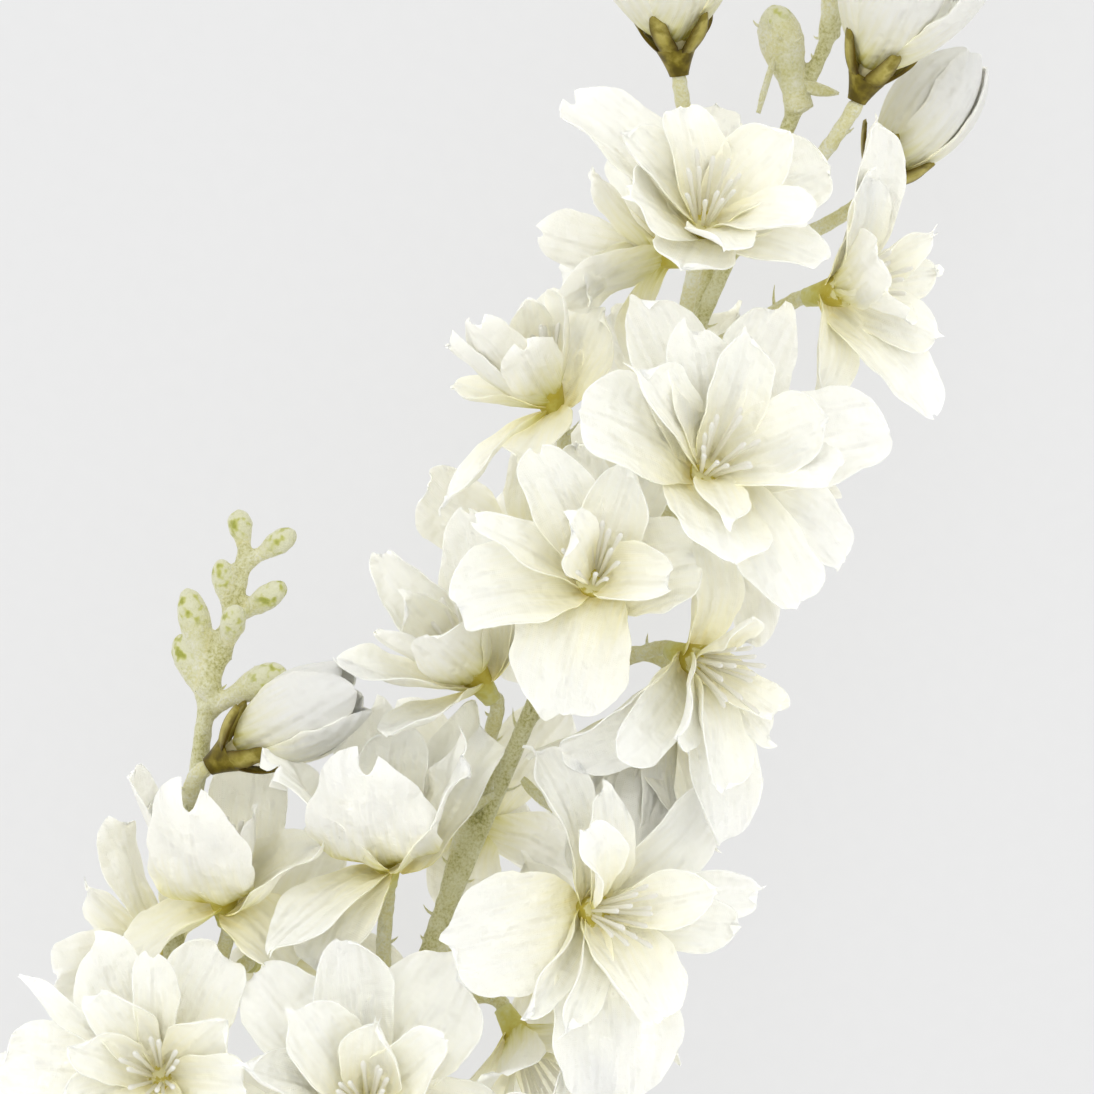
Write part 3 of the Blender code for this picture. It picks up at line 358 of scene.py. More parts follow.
    ),
    flower(
        "bloom_21", at=(-3.0, -4.0, -18.0), faces=(-0.5, 0.2, -0.85), size=0.92, inner=3, behind=True,
        seed=21,
    ),
    flower(
        "bloom_22", at=(2.0, -76.0, -20.0), faces=(0.4, 0.1, -0.9), size=0.96, roll=30, inner=3,
        behind=True, seed=22,
    ),
    flower("bloom_23", at=(2.0, -114.0, 18.0), faces=(0.5, 0.1, 0.85), behind=True, seed=23),
    flower("bloom_24", at=(-60.0, -130.0, 18.0), faces=(0.1, 0.3, 0.9), stem="branch", behind=True, seed=24),
    flower("bloom_25", at=(-24.0, -136.0, 20.0), faces=(0.2, 0.2, 0.95), behind=True, seed=25),
    flower("bloom_26", at=(-98.0, -118.0, 2.0), faces=(-0.9, 0.2, 0.3), stem="branch", behind=True, seed=26),
    flower("bloom_27", at=(-16.0, -150.0, -6.0), faces=(0.85, -0.1, -0.3), behind=True, seed=27),
    flower("bloom_28", at=(-58.0, -124.0, -20.0), faces=(0.0, 0.2, -1), stem="branch", behind=True, seed=28),
)


def unit(vector):
    return vector / np.linalg.norm(vector)


def frame_of(axis):
    """Three directions whose third is the axis, turned the short way from the view's right, up and near."""
    axis = unit(np.array(axis, float))
    right, up, near = (turned(*way) for way in ((1, 0, 0), (0, 1, 0), (0, 0, 1)))
    across = np.cross(near, axis)
    sine, cosine = np.linalg.norm(across), float(near @ axis)
    if sine < 1e-9:
        return np.array([right, up, near]) if cosine > 0 else np.array([right, -up, -near])
    pole = across / sine

    def swung(way):
        return way * cosine + np.cross(pole, way) * sine + pole * (pole @ way) * (1 - cosine)

    return np.array([swung(right), swung(up), swung(near)])


def half_width(petal, s):
    """Half the petal's width at s, which widens from the claw and rounds off at the tip."""
    claw, point = petal["claw"], petal["point"]
    widest = claw / (claw + point)
    full = widest**claw * (1 - widest) ** point
    return petal["width"] / 2 * (s**claw * np.clip(1 - s, 0, 1) ** point / full)


MIDDLE_STEPS = 40


def middle_line(start, end, bend, length):
    """How far out from the axis and how far up it the petal's middle line is, at even places along it."""
    fine = np.linspace(0.0, 1.0, MIDDLE_STEPS + 1)
    pitch = np.radians(start + (end - start) * fine**bend)
    step = length / MIDDLE_STEPS
    out = np.concatenate([[0.0], np.cumsum((np.sin(pitch[1:]) + np.sin(pitch[:-1])) / 2 * step)])
    rise = np.concatenate([[0.0], np.cumsum((np.cos(pitch[1:]) + np.cos(pitch[:-1])) / 2 * step)])
    return fine, pitch, out, rise


def petal_middle(petal, s, t):
    """Points of the petal's middle surface, s along it from root to tip and t across it from edge to edge.

    The middle line leaves the root at the angle start from the bloom's axis and reaches the tip at the angle
    end. The section is an arc of the angle cup. The petal twists and swings sideways, and its edges wave.
    """
    fine, pitch, out, rise = middle_line(petal["start"], petal["end"], petal["bend"], petal["length"])
    angle = math.radians(petal["azimuth"])
    radial = np.array([math.cos(angle), math.sin(angle), 0.0])
    across = np.array([-math.sin(angle), math.cos(angle), 0.0])
    up = np.array([0.0, 0.0, 1.0])
    p = np.interp(s, fine, pitch)[:, None]
    line = np.interp(s, fine, out)[:, None] * radial + np.interp(s, fine, rise)[:, None] * up
    inward = -np.cos(p) * radial + np.sin(p) * up
    twist = np.radians(petal["tilt"] * (1 - s) + petal["twist"] * s)[:, None]
    sideways = across * np.cos(twist) + inward * np.sin(twist)
    inward = inward * np.cos(twist) - across * np.sin(twist)
    half = half_width(petal, s)
    cup = math.radians(petal["cup"])
    wave = petal["wave"] * np.sin(6.3 * s + petal["phase"] + 1.9 * (t > 0)) * np.abs(t) ** 1.5 * s
    lift = half * cup * t**2 / 2 + wave
    slide = half * t * (1 - (cup * t) ** 2 / 6) + petal["swing"] / 57.3 * petal["length"] * s**2 / 2
    return line + slide[:, None] * sideways + lift[:, None] * inward + np.array([0.0, 0.0, petal["root"]])


def above_floor(points, level):
    """The points with those that would reach the surface laid along it."""
    low = FLOOR_GAP + level
    rise = points[:, 2]
    laid = low + FLOOR_SOFTNESS * np.exp(np.minimum((rise - low) / FLOOR_SOFTNESS - 1, 0.0))
    points[:, 2] = np.where(rise > low + FLOOR_SOFTNESS, rise, laid)
    return points


def petal_surface(made, petal, s, t):
    """The middle surface in the spike's own frame, with what the surface below holds up."""
    return above_floor(petal_middle(petal, s, t) @ made["frame"] + made["base"], petal["level"])


def aimed(petal, made):
    """The petal turned, bent and made so long that its tip is in its place, found by halving a range."""
    x, y, z = (placed(*petal["tip"]) - made["base"]) @ made["frame"].T
    z -= petal["root"]
    away = math.hypot(x, y)
    wanted = math.atan2(away, z)
    low, high = -70.0, 190.0
    for _ in range(30):
        end = (low + high) / 2
        out, rise = (line[-1] for line in middle_line(petal["start"], end, petal["bend"], 1.0)[2:])
        if math.atan2(out, rise) < wanted:
            low = end
        else:
            high = end
    length = math.hypot(away, z) / math.hypot(out, rise)
    aside = petal["swing"] / 2 * length / max(away, 6.0)
    return petal | {"azimuth": math.degrees(math.atan2(y, x)) - aside, "end": end, "length": length}


# The usual petal of each ring: its length, its width, its end angle and how far its root is sunk in the neck
RINGS = {"outer": (30.0, 15.0, 84.0, 5.2), "inner": (22.5, 11.0, 60.0, 3.8)}
# Petals that the surface holds up lie on one another, the inner ones on top
LEVEL_STEP = 1.1
INNER_LEVEL = 3.3


def ring_of(spec, kind, made, draw):
    """The petals of one ring, from a list of their tips or from a count."""
    outer = kind == "outer"
    ring, size = spec[kind], spec["size"]
    length, width, end, sunk = RINGS[kind]
    if isinstance(ring, int):
        first = spec["roll"] + (0 if outer else 180 / ring)
        ring = [
            {
                "azimuth": first + 360 / ring * k + draw.uniform(-9, 9),
                "length": (length + draw.uniform(-2.5, 2)) * size,
                "end": end + draw.uniform(-22, 16),
                "width": (width + draw.uniform(-1.5, 1.5)) * size,
            }
            for k in range(ring)
        ]
    petals = []
    for k, stated in enumerate(ring):
        petal = {
            "start": spec["opens"] - (0.0 if outer else 14.0),
            "bend": 0.7,
            "cup": draw.uniform(24, 48) + (0 if outer else 10),
            "claw": draw.choice((0.8, 0.95) if spec["behind"] or not outer else (0.55, 0.65, 0.8)),
            "point": draw.choice((0.26, 0.3, 0.36, 0.46)) if outer else draw.choice((0.26, 0.32, 0.4)),
            "root": NECK_LENGTH - sunk,
            "rings": (4 if outer else 3) - spec["behind"],
            "level": LEVEL_STEP * (k % 3) if outer else INNER_LEVEL,
            "tilt": ROOT_TILT,
            "twist": draw.uniform(-16, 16),
            "swing": draw.uniform(-12, 12),
            "wave": draw.uniform(0.5, 1.4),
            "phase": draw.uniform(0, 6.3),
        } | stated
        petals.append(aimed(petal, made) if "tip" in petal else petal)
    return petals


# A petal gives way to its neighbours by closing or opening, by swinging aside, or by being cut shorter
BENDS = sorted(
    (
        (lift, swing, share)
        for lift in range(-42, 43, 7)
        for swing in range(-24, 25, 8)
        for share in (1.0, 0.88, 0.76, 0.64)
    ),
    key=lambda move: (abs(move[0]) / 7 + abs(move[1]) / 8 + 14 * (1 - move[2]), move),
)


def bent(petal, move):
    lift, swing, share = move
    return petal | {
        "end": petal["end"] + lift,
        "start": petal["start"] + 0.4 * lift,
        "azimuth": petal["azimuth"] + swing,
        "length": petal["length"] * share,
    }


def surface_of(node):
    mesh = frame["nodes"][node].data
    return BVHTree.FromPolygons([v.co for v in mesh.vertices], [tuple(p.vertices) for p in mesh.polygons])


# Of a petal's tip and two edges, at least two lie on the solid and the third is near it
ON_SOLID = 0.03
NEAR_SOLID = 0.5


def as_built(solid, made, petal):
    """The petal in the bend that the solid has it in: its tip and edges lie on the solid. Else None."""
    tip, *edges = RING_PLACES[petal["rings"]][:-3:-1]
    s = np.array([tip, edges[0], edges[0]])
    t = np.array([0.0, -1.0, 1.0])
    for move in BENDS:
        tried = bent(petal, move)
        off = sorted(solid.find_nearest(Vector(p * MM))[3] / MM for p in petal_surface(made, tried, s, t))
        if off[1] < ON_SOLID and off[2] < NEAR_SOLID:
            return tried
    return None


def linear(code):
    """An sRGB hex colour as linear red, green, blue and alpha."""
    shares = [int(code[k : k + 2], 16) / 255 for k in (1, 3, 5)]
    return (*(c / 12.92 if c <= 0.04045 else ((c + 0.055) / 1.055) ** 2.4 for c in shares), 1.0)


def feed(tree, node, feeds):
    """Sets a node's inputs to values, or links them to an output or to another node's first output."""
    for key, value in feeds.items():
        source = value.outputs[0] if isinstance(value, bpy.types.Node) else value
        if isinstance(source, bpy.types.NodeSocket):
            tree.links.new(source, node.inputs[key])
        else:
            node.inputs[key].default_value = source


def add(tree, kind, feeds=None, stops=(), **settings):
    """Adds a node with its settings and links. stops are the places and hex colours of a colour ramp."""
    made = tree.nodes.new("ShaderNode" + kind)
    for key, value in settings.items():
        setattr(made, key, value)
    feed(tree, made, feeds or {})
    if stops:
        steps = made.color_ramp.elements
        steps.remove(steps[1])
        steps[0].position = stops[0][0]
        steps[0].color = linear(stops[0][1])
        for place, code in stops[1:]:
            steps.new(place).color = linear(code)
    return made


def start_material(name):
    """An empty material, its node tree and its Principled shader."""
    made = bpy.data.materials.new(name)
    made.use_nodes = True
    return made, made.node_tree, made.node_tree.nodes["Principled BSDF"]


# Polyester taffeta, die-cut and heat-pressed: matt with a faint satin, a plain weave, soft pressed creases,
# and dye that has run from the throat up the root of each petal. Light shows through it. The real threads
# are about 0.2 mm apart; they are drawn 0.36 mm apart so that the render shows them.
THREAD = 0.36
CLOTH_SPAN = 50.0
DYE_REACH = 32.0
CREASE_WIDTH = 0.9
cloth, tree, shader = start_material("pressed_polyester_taffeta")
cut = add(tree, "UVMap", uv_map="cut")
on_cloth = add(tree, "VectorMath", {0: cut, 1: (CLOTH_SPAN, CLOTH_SPAN, CLOTH_SPAN)}, operation="MULTIPLY")
aside_along = add(tree, "SeparateXYZ", {0: on_cloth})
tone = add(tree, "Attribute", attribute_name="tone")
drawn_out = add(tree, "VectorMath", {0: on_cloth, 1: (1.1, 0.12, 1.0)}, operation="MULTIPLY")
streaks = add(tree, "TexNoise", {"Vector": drawn_out, "Scale": 1.0, "Detail": 1.0})
runs = add(
    tree, "MapRange", {"Value": streaks, "From Min": 0.3, "From Max": 0.7, "To Min": -1.8, "To Max": 1.8}
)
dyed_to = add(tree, "Math", {0: aside_along.outputs[1], 1: runs}, operation="ADD")
share = add(tree, "MapRange", {"Value": dyed_to, "From Min": 0.0, "From Max": DYE_REACH})
inside = add(
    tree,
    "ValToRGB",
    {"Fac": share},
    stops=(
        (0.0, "#f1e49c"), (0.08, "#f8f0bf"), (0.18, "#fcf8da"), (0.36, "#fefcec"), (0.65, "#fefef8"),
        (1.0, "#fefefb"),
    ),
)  # fmt: skip
outside = add(
    tree,
    "ValToRGB",
    {"Fac": share},
    stops=(
        (0.0, "#c6b438"), (0.08, "#d6cc60"), (0.16, "#ebe6a8"), (0.3, "#f8f5dc"), (0.55, "#fdfcf5"),
        (1.0, "#fefefb"),
    ),
)  # fmt: skip
turned_over = add(tree, "MapRange", {"Value": tone.outputs["Fac"], "From Min": 0.42, "From Max": 0.58})
dye = add(tree, "MixRGB", {"Fac": turned_over, "Color1": inside, "Color2": outside})
# Painted shade: the face turned away from the bloom's axis has 0.6 more tone, so this multiply greys it. The
# rest of the tone differs at random from petal to petal.
pale = add(
    tree,
    "MixRGB",
    {"Fac": tone.outputs["Fac"], "Color1": dye, "Color2": linear("#f5f5f4")},
    blend_type="MULTIPLY",
)
# A wave's own period at scale 1 is 0.314 of its length unit
threads = {"Vector": on_cloth, "Scale": 0.314 / THREAD}
warp = add(tree, "TexWave", threads, bands_direction="X")
weft = add(tree, "TexWave", threads, bands_direction="Y")
weave = add(tree, "Math", {0: warp.outputs["Fac"], 1: weft.outputs["Fac"]}, operation="MAXIMUM")
bump = add(tree, "Bump", {"Height": weave, "Strength": 0.5, "Distance": 0.00008})
crumple = add(tree, "TexNoise", {"Vector": on_cloth, "Scale": 0.2, "Detail": 2.0, "Roughness": 0.6})
bump = add(tree, "Bump", {"Height": crumple, "Strength": 0.7, "Distance": 0.0018, "Normal": bump})
pleated = add(tree, "VectorMath", {0: on_cloth, 1: (0.55, 0.045, 1.0)}, operation="MULTIPLY")
pleats = add(tree, "TexNoise", {"Vector": pleated, "Scale": 1.0, "Detail": 0.0})
bump = add(tree, "Bump", {"Height": pleats, "Strength": 0.6, "Distance": 0.0014, "Normal": bump})
aside = add(tree, "Math", {0: aside_along}, operation="ABSOLUTE")
crease = add(
    tree,
    "MapRange",
    {"Value": aside, "From Min": 0.0, "From Max": CREASE_WIDTH},
    interpolation_type="SMOOTHSTEP",
)
bump = add(tree, "Bump", {"Height": crease, "Strength": 0.35, "Distance": 0.0003, "Normal": bump})
rough = add(tree, "MapRange", {"Value": crumple, "To Min": 0.5, "To Max": 0.72})
shader.subsurface_method = "BURLEY"
feed(
    tree,
    shader,
    {
        "Base Color": pale,
        "Normal": bump,
        "Roughness": rough,
        "IOR": 1.45,
        "Specular IOR Level": 0.3,
        "Subsurface Weight": 0.85,
        "Subsurface Radius": (1.0, 0.97, 0.85),
        "Subsurface Scale": 0.0007,
    },
)

# Polyethylene neck, moulded and dyed by brush: ochre yellow at the petals, paler down to the stalk, and half
# glossy
neck_dye, tree, shader = start_material("brush_dyed_neck")
cut = add(tree, "UVMap", uv_map="cut")
along = add(tree, "SeparateXYZ", {0: cut})
where = add(tree, "TexCoord").outputs["Object"]
blots = add(tree, "TexNoise", {"Vector": where, "Scale": 700.0, "Detail": 3.0})
blotted = add(
    tree, "MapRange", {"Value": blots, "From Min": 0.3, "From Max": 0.7, "To Min": -0.2, "To Max": 0.2}
)
dyed = add(tree, "Math", {0: along.outputs[1], 1: blotted}, operation="ADD")
dye = add(
    tree,
    "ValToRGB",
    {"Fac": dyed},
    stops=((0.0, "#dedca0"), (0.35, "#d6cf6e"), (0.75, "#c9b840"), (0.93, "#cdbe50"), (1.0, "#ece6ae")),
)
bump = add(tree, "Bump", {"Height": blots, "Strength": 0.3, "Distance": 0.0002})
feed(tree, shader, {"Base Color": dye, "Roughness": 0.5, "Normal": bump})

# Extruded polyethylene stamens: smooth cream threads, paler at their blunt heads
thread_plastic, tree, shader = start_material("extruded_stamen_plastic")
cut = add(tree, "UVMap", uv_map="cut")
along = add(tree, "SeparateXYZ", {0: cut})
fade = add(
    tree,
    "ValToRGB",
    {"Fac": along.outputs[1]},
    stops=((0.0, "#ebe2ae"), (0.35, "#f6f2dc"), (1.0, "#fdfbf1")),
)
where = add(tree, "TexCoord").outputs["Object"]
ribs = add(tree, "TexNoise", {"Vector": where, "Scale": 1500.0})
bump = add(tree, "Bump", {"Height": ribs, "Strength": 0.3, "Distance": 0.0001})
feed(tree, shader, {"Base Color": fade, "Roughness": 0.45, "Normal": bump})

SHARP_ANGLE = 55.0


class Pieces:
    """Gathers points and faces of a piece, with each face's material slot and each point's cut and tone."""

    def __init__(self):
        self.points, self.faces, self.slots, self.cuts, self.tones = [], [], [], [], []
        self.count = 0

    def take(self, points, faces, slot=0, cuts=None, tone=0.0):
        self.points.append(points)
        self.faces += [[k + self.count for k in face] for face in faces]
        self.slots += [slot] * len(faces)
        self.cuts.append(np.zeros((len(points), 2)) if cuts is None else cuts)
        self.tones.append(np.zeros(len(points)) + tone)
        self.count += len(points)

    def made(self, name, materials):
        mesh = bpy.data.meshes.new(name)
        mesh.from_pydata(np.vstack(self.points) * MM, [], self.faces)
        mesh.polygons.foreach_set("material_index", self.slots)
        corners = np.empty(len(mesh.loops), int)
        mesh.loops.foreach_get("vertex_index", corners)
        cuts = np.vstack(self.cuts)[corners].astype(np.float32)
        mesh.uv_layers.new(name="cut").data.foreach_set("uv", cuts.ravel())
        tones = mesh.attributes.new("tone", "FLOAT", "POINT")
        tones.data.foreach_set("value", np.concatenate(self.tones).astype(np.float32))
        for material in materials:
            mesh.materials.append(material)
        mesh.shade_smooth()
        mesh.set_sharp_from_angle(angle=math.radians(SHARP_ANGLE))
        made = bpy.data.objects.new(name, mesh)
        bpy.context.scene.collection.objects.link(made)
        return made


def grid_faces(rows, columns, first, turned_over=False):
    """Quads of a grid of points, numbered row by row from first."""
    faces = []
    for r in range(rows - 1):
        for c in range(columns - 1):
            a = first + r * columns + c
            face = [a, a + 1, a + columns + 1, a + columns]
            faces.append(face[::-1] if turned_over else face)
    return faces


PETAL_ROWS = 24
PETAL_COLUMNS = 15
FIRST_ROW = 0.03
ROWS_LENGTH = 0.9685
WAVER = 0.045
FINE_WAVER = 0.025
FRAY = 0.016
FOLD_WIDTH = 1.3
LOWEST = 0.06
# A petal as it is cut, before the hot mould gives it any form of its own. Sizes are in millimetres.
UNPRESSED = {
    "crease": 0.0, "pleats": 0.0, "ripple": 0.0, "curl": 0.0, "ruffle": 0.0, "waves": 9.0, "roll": 0.0,
    "dents": 0.0,
}  # fmt: skip


def share_of(value, start, span):
    """How far a value is past its start, as a share of a span, from 0 to 1."""
    return np.clip((value - start) / span, 0, 1)


def cloth_sheet(made, petal, thick, draw):
    """Points, faces and cuts of one petal of that thickness, closed all round."""
    u = np.linspace(0.0, 1.0, PETAL_ROWS)
    rows = FIRST_ROW + ROWS_LENGTH * (1 - (1 - u) ** 1.7)
    columns = np.sin(np.linspace(-1.0, 1.0, PETAL_COLUMNS) * math.pi / 2 * 0.93)
    columns /= columns[-1]
    s, t = (grid.ravel() for grid in np.meshgrid(rows, columns, indexing="ij"))
    turn = [draw.uniform(0, 6.3) for _ in range(9)]
    ragged = np.array([[draw.uniform(-1, 1) for _ in columns] for _ in rows]).ravel()
    # The cut edge wavers a little, and its threads fray
    waver = WAVER * np.sin(9 * s + turn[0] + 2.1 * (t > 0))
    waver += FINE_WAVER * np.sin(23 * s + turn[1] + 1.3 * (t > 0))
    wide = t * (1 + (waver + FRAY * ragged) * np.abs(t) ** 3)
    points = petal_surface(made, petal, s, wide).reshape(PETAL_ROWS, PETAL_COLUMNS, 3)
    along = np.gradient(points, axis=0)
    across = np.gradient(points, axis=1)
    normal = np.cross(across, along)
    normal /= np.maximum(np.linalg.norm(normal, axis=2), 1e-9)[:, :, None]
    x = (half_width(petal, s) * t).reshape(PETAL_ROWS, PETAL_COLUMNS)
    s, t = s.reshape(PETAL_ROWS, PETAL_COLUMNS), t.reshape(PETAL_ROWS, PETAL_COLUMNS)
    y = s * petal["length"]
    # What the mould presses into it: x is across and y along in millimetres, t and s the same as shares
    ruffle = np.sin(petal["waves"] * s + turn[2] + 2.4 * (t > 0)) * np.abs(t) ** 2.5 * s
    rolled = share_of(np.abs(x), 0, 7.0) ** 3 * np.where(t > 0, 1.0, 0.5) * share_of(s, 0, 0.5)
    dents = np.sin(0.62 * x + turn[4]) * np.sin(0.42 * y + turn[5]) * share_of(y, 0, 8.0)
    pleats = np.sin(7.5 * t + turn[6]) * np.clip(1.15 - s, 0, 1) ** 2 * share_of(s, 0, 0.2) * np.cos(2 * t)
    fold = np.exp(-((x / FOLD_WIDTH) ** 2)) * share_of(s, 0.1, 0.3) * (1 - s**3)
    rim = np.sqrt(((1 - s) * petal["length"] / 6.0) ** 2 + (np.abs(t) - 1) ** 2 * 1.5)
    ripple = np.sin(rim * 6.0 + turn[3]) * share_of(s, 0.35, 0.2) * share_of(rim, 0, 0.5)
    curl = share_of(s, 0.7, 0.3) ** 2 * (0.4 + np.abs(t))
    pressed = (
        petal["ruffle"] * ruffle
        + petal["roll"] * rolled
        + petal["dents"] * dents
        + petal["pleats"] * pleats
        - petal["crease"] * fold
        + petal["ripple"] * ripple
        - petal["curl"] * curl
    )
    middle = points + normal * pressed[:, :, None]
    tops, lows = middle + normal * thick / 2, middle - normal * thick / 2
    count = PETAL_ROWS * PETAL_COLUMNS
    faces = grid_faces(PETAL_ROWS, PETAL_COLUMNS, 0)
    faces += grid_faces(PETAL_ROWS, PETAL_COLUMNS, count, True)
    loop = (
        list(range(PETAL_COLUMNS))
        + [r * PETAL_COLUMNS + PETAL_COLUMNS - 1 for r in range(1, PETAL_ROWS)]
        + [count - 2 - k for k in range(PETAL_COLUMNS - 1)]
        + [r * PETAL_COLUMNS for r in range(PETAL_ROWS - 2, 0, -1)]
    )
    faces += [[b, a, a + count, b + count] for a, b in zip(loop, loop[1:] + loop[:1])]
    cut = np.stack([x.ravel(), s.ravel() * petal["length"]], axis=1) / CLOTH_SPAN
    points = np.vstack([tops.reshape(-1, 3), lows.reshape(-1, 3)])
    points[:, 2] = np.maximum(points[:, 2], LOWEST)
    return points, faces, np.vstack([cut, cut])


def both_faces(points, draw, most):
    """The tone of a sheet's two faces: a drawn one, and 0.6 more on the face turned away from the axis as
    painted shade.
    """
    return draw.uniform(0.0, most) + np.repeat((0.6, 0.0), len(points) // 2)


def side_faces(rings, sides):
    """Faces of a closed tube of that many rings of points, with both ends capped."""
    faces = []
    for r in range(rings - 1):
        for k in range(sides):
            a, b = r * sides + k, r * sides + (k + 1) % sides
            faces.append([a, b, b + sides, a + sides])
    faces.append(list(range(sides))[::-1])
    faces.append([(rings - 1) * sides + k for k in range(sides)])
    return faces


def round_rod(base, frame, stations, sides=12):
    """A closed round rod. A station is its height above the base, radius and shift right and up, if any."""
    angles = np.arange(sides) * 2 * math.pi / sides
    points, cuts = [], []
    first, last = stations[0][0], stations[-1][0]
    for high, radius, *aside in stations:
        right, up = aside or (0.0, 0.0)
        ring = [right + radius * np.cos(angles), up + radius * np.sin(angles), np.full(sides, high)]
        points.append(np.stack(ring, axis=1) @ frame + base)
        cuts.append(np.stack([angles / 6.3, np.full(sides, (high - first) / (last - first))], axis=1))
    return np.vstack(points), side_faces(len(stations), sides), np.vstack(cuts)


STAMENS = 13
GOLDEN_ANGLE = 137.5
STAMEN_RADIUS = 0.34
HEAD_RADIUS = 0.5
HEAD_END_RADIUS = 0.3


def add_stamens(pieces, made, draw):
    """A tuft of stamens: thin threads that lean and bow outwards, each with a blunt head."""
    for k in range(STAMENS):
        angle = math.radians(GOLDEN_ANGLE * k + draw.uniform(-12, 12))
        lean = math.radians(3 + 13 * math.sqrt((k + 0.5) / STAMENS) + draw.uniform(-2, 2))
        length = draw.uniform(8.5, 12.5) + NECK_LENGTH * 0.5
        bow = draw.uniform(0.5, 1.8)
        stations = []
        for u in (0.0, 0.25, 0.5, 0.75, 0.92, 0.96, 1.0):
            out = 0.8 + math.tan(lean) * length * u + bow * u * u
            radius = STAMEN_RADIUS if u < 0.9 else HEAD_RADIUS if u < 1.0 else HEAD_END_RADIUS
            high = NECK_LENGTH * 0.55 + length * u * 0.98
            stations.append((high, radius, math.cos(angle) * out, math.sin(angle) * out))
        points, faces, cuts = round_rod(made["base"], made["frame"], stations, 6)
        pieces.take(above_floor(points, 0.0), faces, 2, cuts)


CLOTH_THICKNESS = 0.22
# The neck's own profile: shares of its length and of its flare from the stalk to the petals
NECK_PROFILE = ((-0.09, 0.0), (0.0, 0.02), (0.08, 0.12), (0.3, 0.3), (0.6, 0.62), (0.85, 0.92), (1.0, 1.0))
NECK_FOOT_RADIUS = STALK_RADIUS + 0.15
# The lips of a cup of broad petals roll outwards
CUP_LIPS = {"ruffle": 1.2, "waves": 8.0, "dents": 0.8, "pleats": 0.6, "curl": -3.4, "point": 0.45}
for spec in BLOOMS:
    draw = random.Random(spec["seed"])
    axes = frame_of(turned(*spec["faces"]))
    made = {"frame": axes, "base": placed(*spec["at"]) - axes[2] * NECK_LENGTH}
    petals = ring_of(spec, "outer", made, draw) + ring_of(spec, "inner", made, draw)
    solid = surface_of(spec["name"])
    finish = random.Random(spec["seed"] + 500)
    pieces = Pieces()
    for petal in petals:
        built = as_built(solid, made, petal)
        # The solid leaves out a petal that has no room
        if built is None:
            continue
        pressing = {
            "crease": finish.uniform(0.1, 0.6),
            "pleats": finish.uniform(0.1, 0.42),
            "ripple": finish.choice((0.0, 0.0, 0.08, 0.15)),
            "curl": finish.choice((0.0, 0.8, 1.5, -1.0)),
            "ruffle": finish.uniform(0.3, 0.95),
            "waves": finish.uniform(6.0, 13.0),
            "roll": finish.uniform(-1.3, 1.3),
            "dents": finish.uniform(0.2, 0.6),
            "point": 0.2 + 0.7 * built["point"],
            "width": built["width"] * 1.06,
        }
        if built["claw"] < 0.5:
            pressing |= CUP_LIPS
        points, faces, cuts = cloth_sheet(made, built | pressing, CLOTH_THICKNESS, finish)
        pieces.take(points, faces, 0, cuts, both_faces(points, finish, 0.4))
    stations = [
        (NECK_LENGTH * u, NECK_FOOT_RADIUS + (NECK_RADIUS - NECK_FOOT_RADIUS) * flare)
        for u, flare in NECK_PROFILE
    ]
    points, faces, cuts = round_rod(made["base"], made["frame"], stations, 20)
    pieces.take(points, faces, 1, cuts)
    add_stamens(pieces, made, finish)
    bloom = pieces.made("silk_" + spec["name"], (cloth, neck_dye, thread_plastic))
    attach(bloom, "root")
    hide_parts(spec["name"])


# Half-open buds. Each is a cup of the same white cloth petals, glued round a peg and held closed by its
# calyx. The calyx under it is olive brown plastic, moulded as a shallow cup with five blunt lobes.

BUD_FOOT = 3.0
BUD_ROOT = 1.6
PEG_LENGTH = 4.0
PEG_RADII = (1.6, 2.6)
SEAT_GAP = 0.3
# Two layers of cloth are bonded together in a bud's petals, so less light gets through them
BUD_PETAL_THICKNESS = 0.5
LOBE_LENGTH = 12.0
LOBE_WIDTH = 3.8
LOBE_ROOT = 1.2
LOBE_THICKNESS = 0.6
CALYX_CUP = (
    (-0.7, 1.72), (0.0, 1.9), (1.0, 2.25), (2.0, 2.65), (2.9, 3.05), (3.6, 3.4), (4.1, 3.6), (4.25, 3.4),
    (3.9, 2.6),
)  # fmt: skip


def bud(name, at, faces, seed, length=28.5, width=17.0, tip=0.0, petals=5, stem="main", drop=18.0):
    """A bud whose calyx foot is at a place in the view. tip is its petals' end angle, under 0 if closed."""
    return locals()


BUDS = (
    bud("1", at=(23.4, 84.4, 10.0), faces=(-0.12, 0.97, 0.2), tip=12.0, width=19.0, drop=26.0, seed=31),
    bud("2", at=(55.1, 79.6, 12.0), faces=(0.38, 0.9, 0.25), length=31.0, drop=24.0, seed=32),
    bud("3", at=(57.8, 64.0, -2.0), faces=(0.6, 0.8, -0.05), tip=-38.0, length=30.0, width=14.0, seed=33),
    bud("4", at=(-59.5, -38.6, 11.5), faces=(0.86, 0.5, 0.1), tip=-24.0, stem="branch", drop=8.0, seed=34),
    bud("5", at=(50.0, 112.0, 5.0), faces=(-0.35, 0.9, 0.2), tip=-40.0, length=24.0, width=12.0, seed=35),
    bud("6", at=(71.0, 122.0, 4.0), faces=(0.75, 0.7, 0.2), tip=-42.0, length=22.0, width=11.0, seed=36),
)


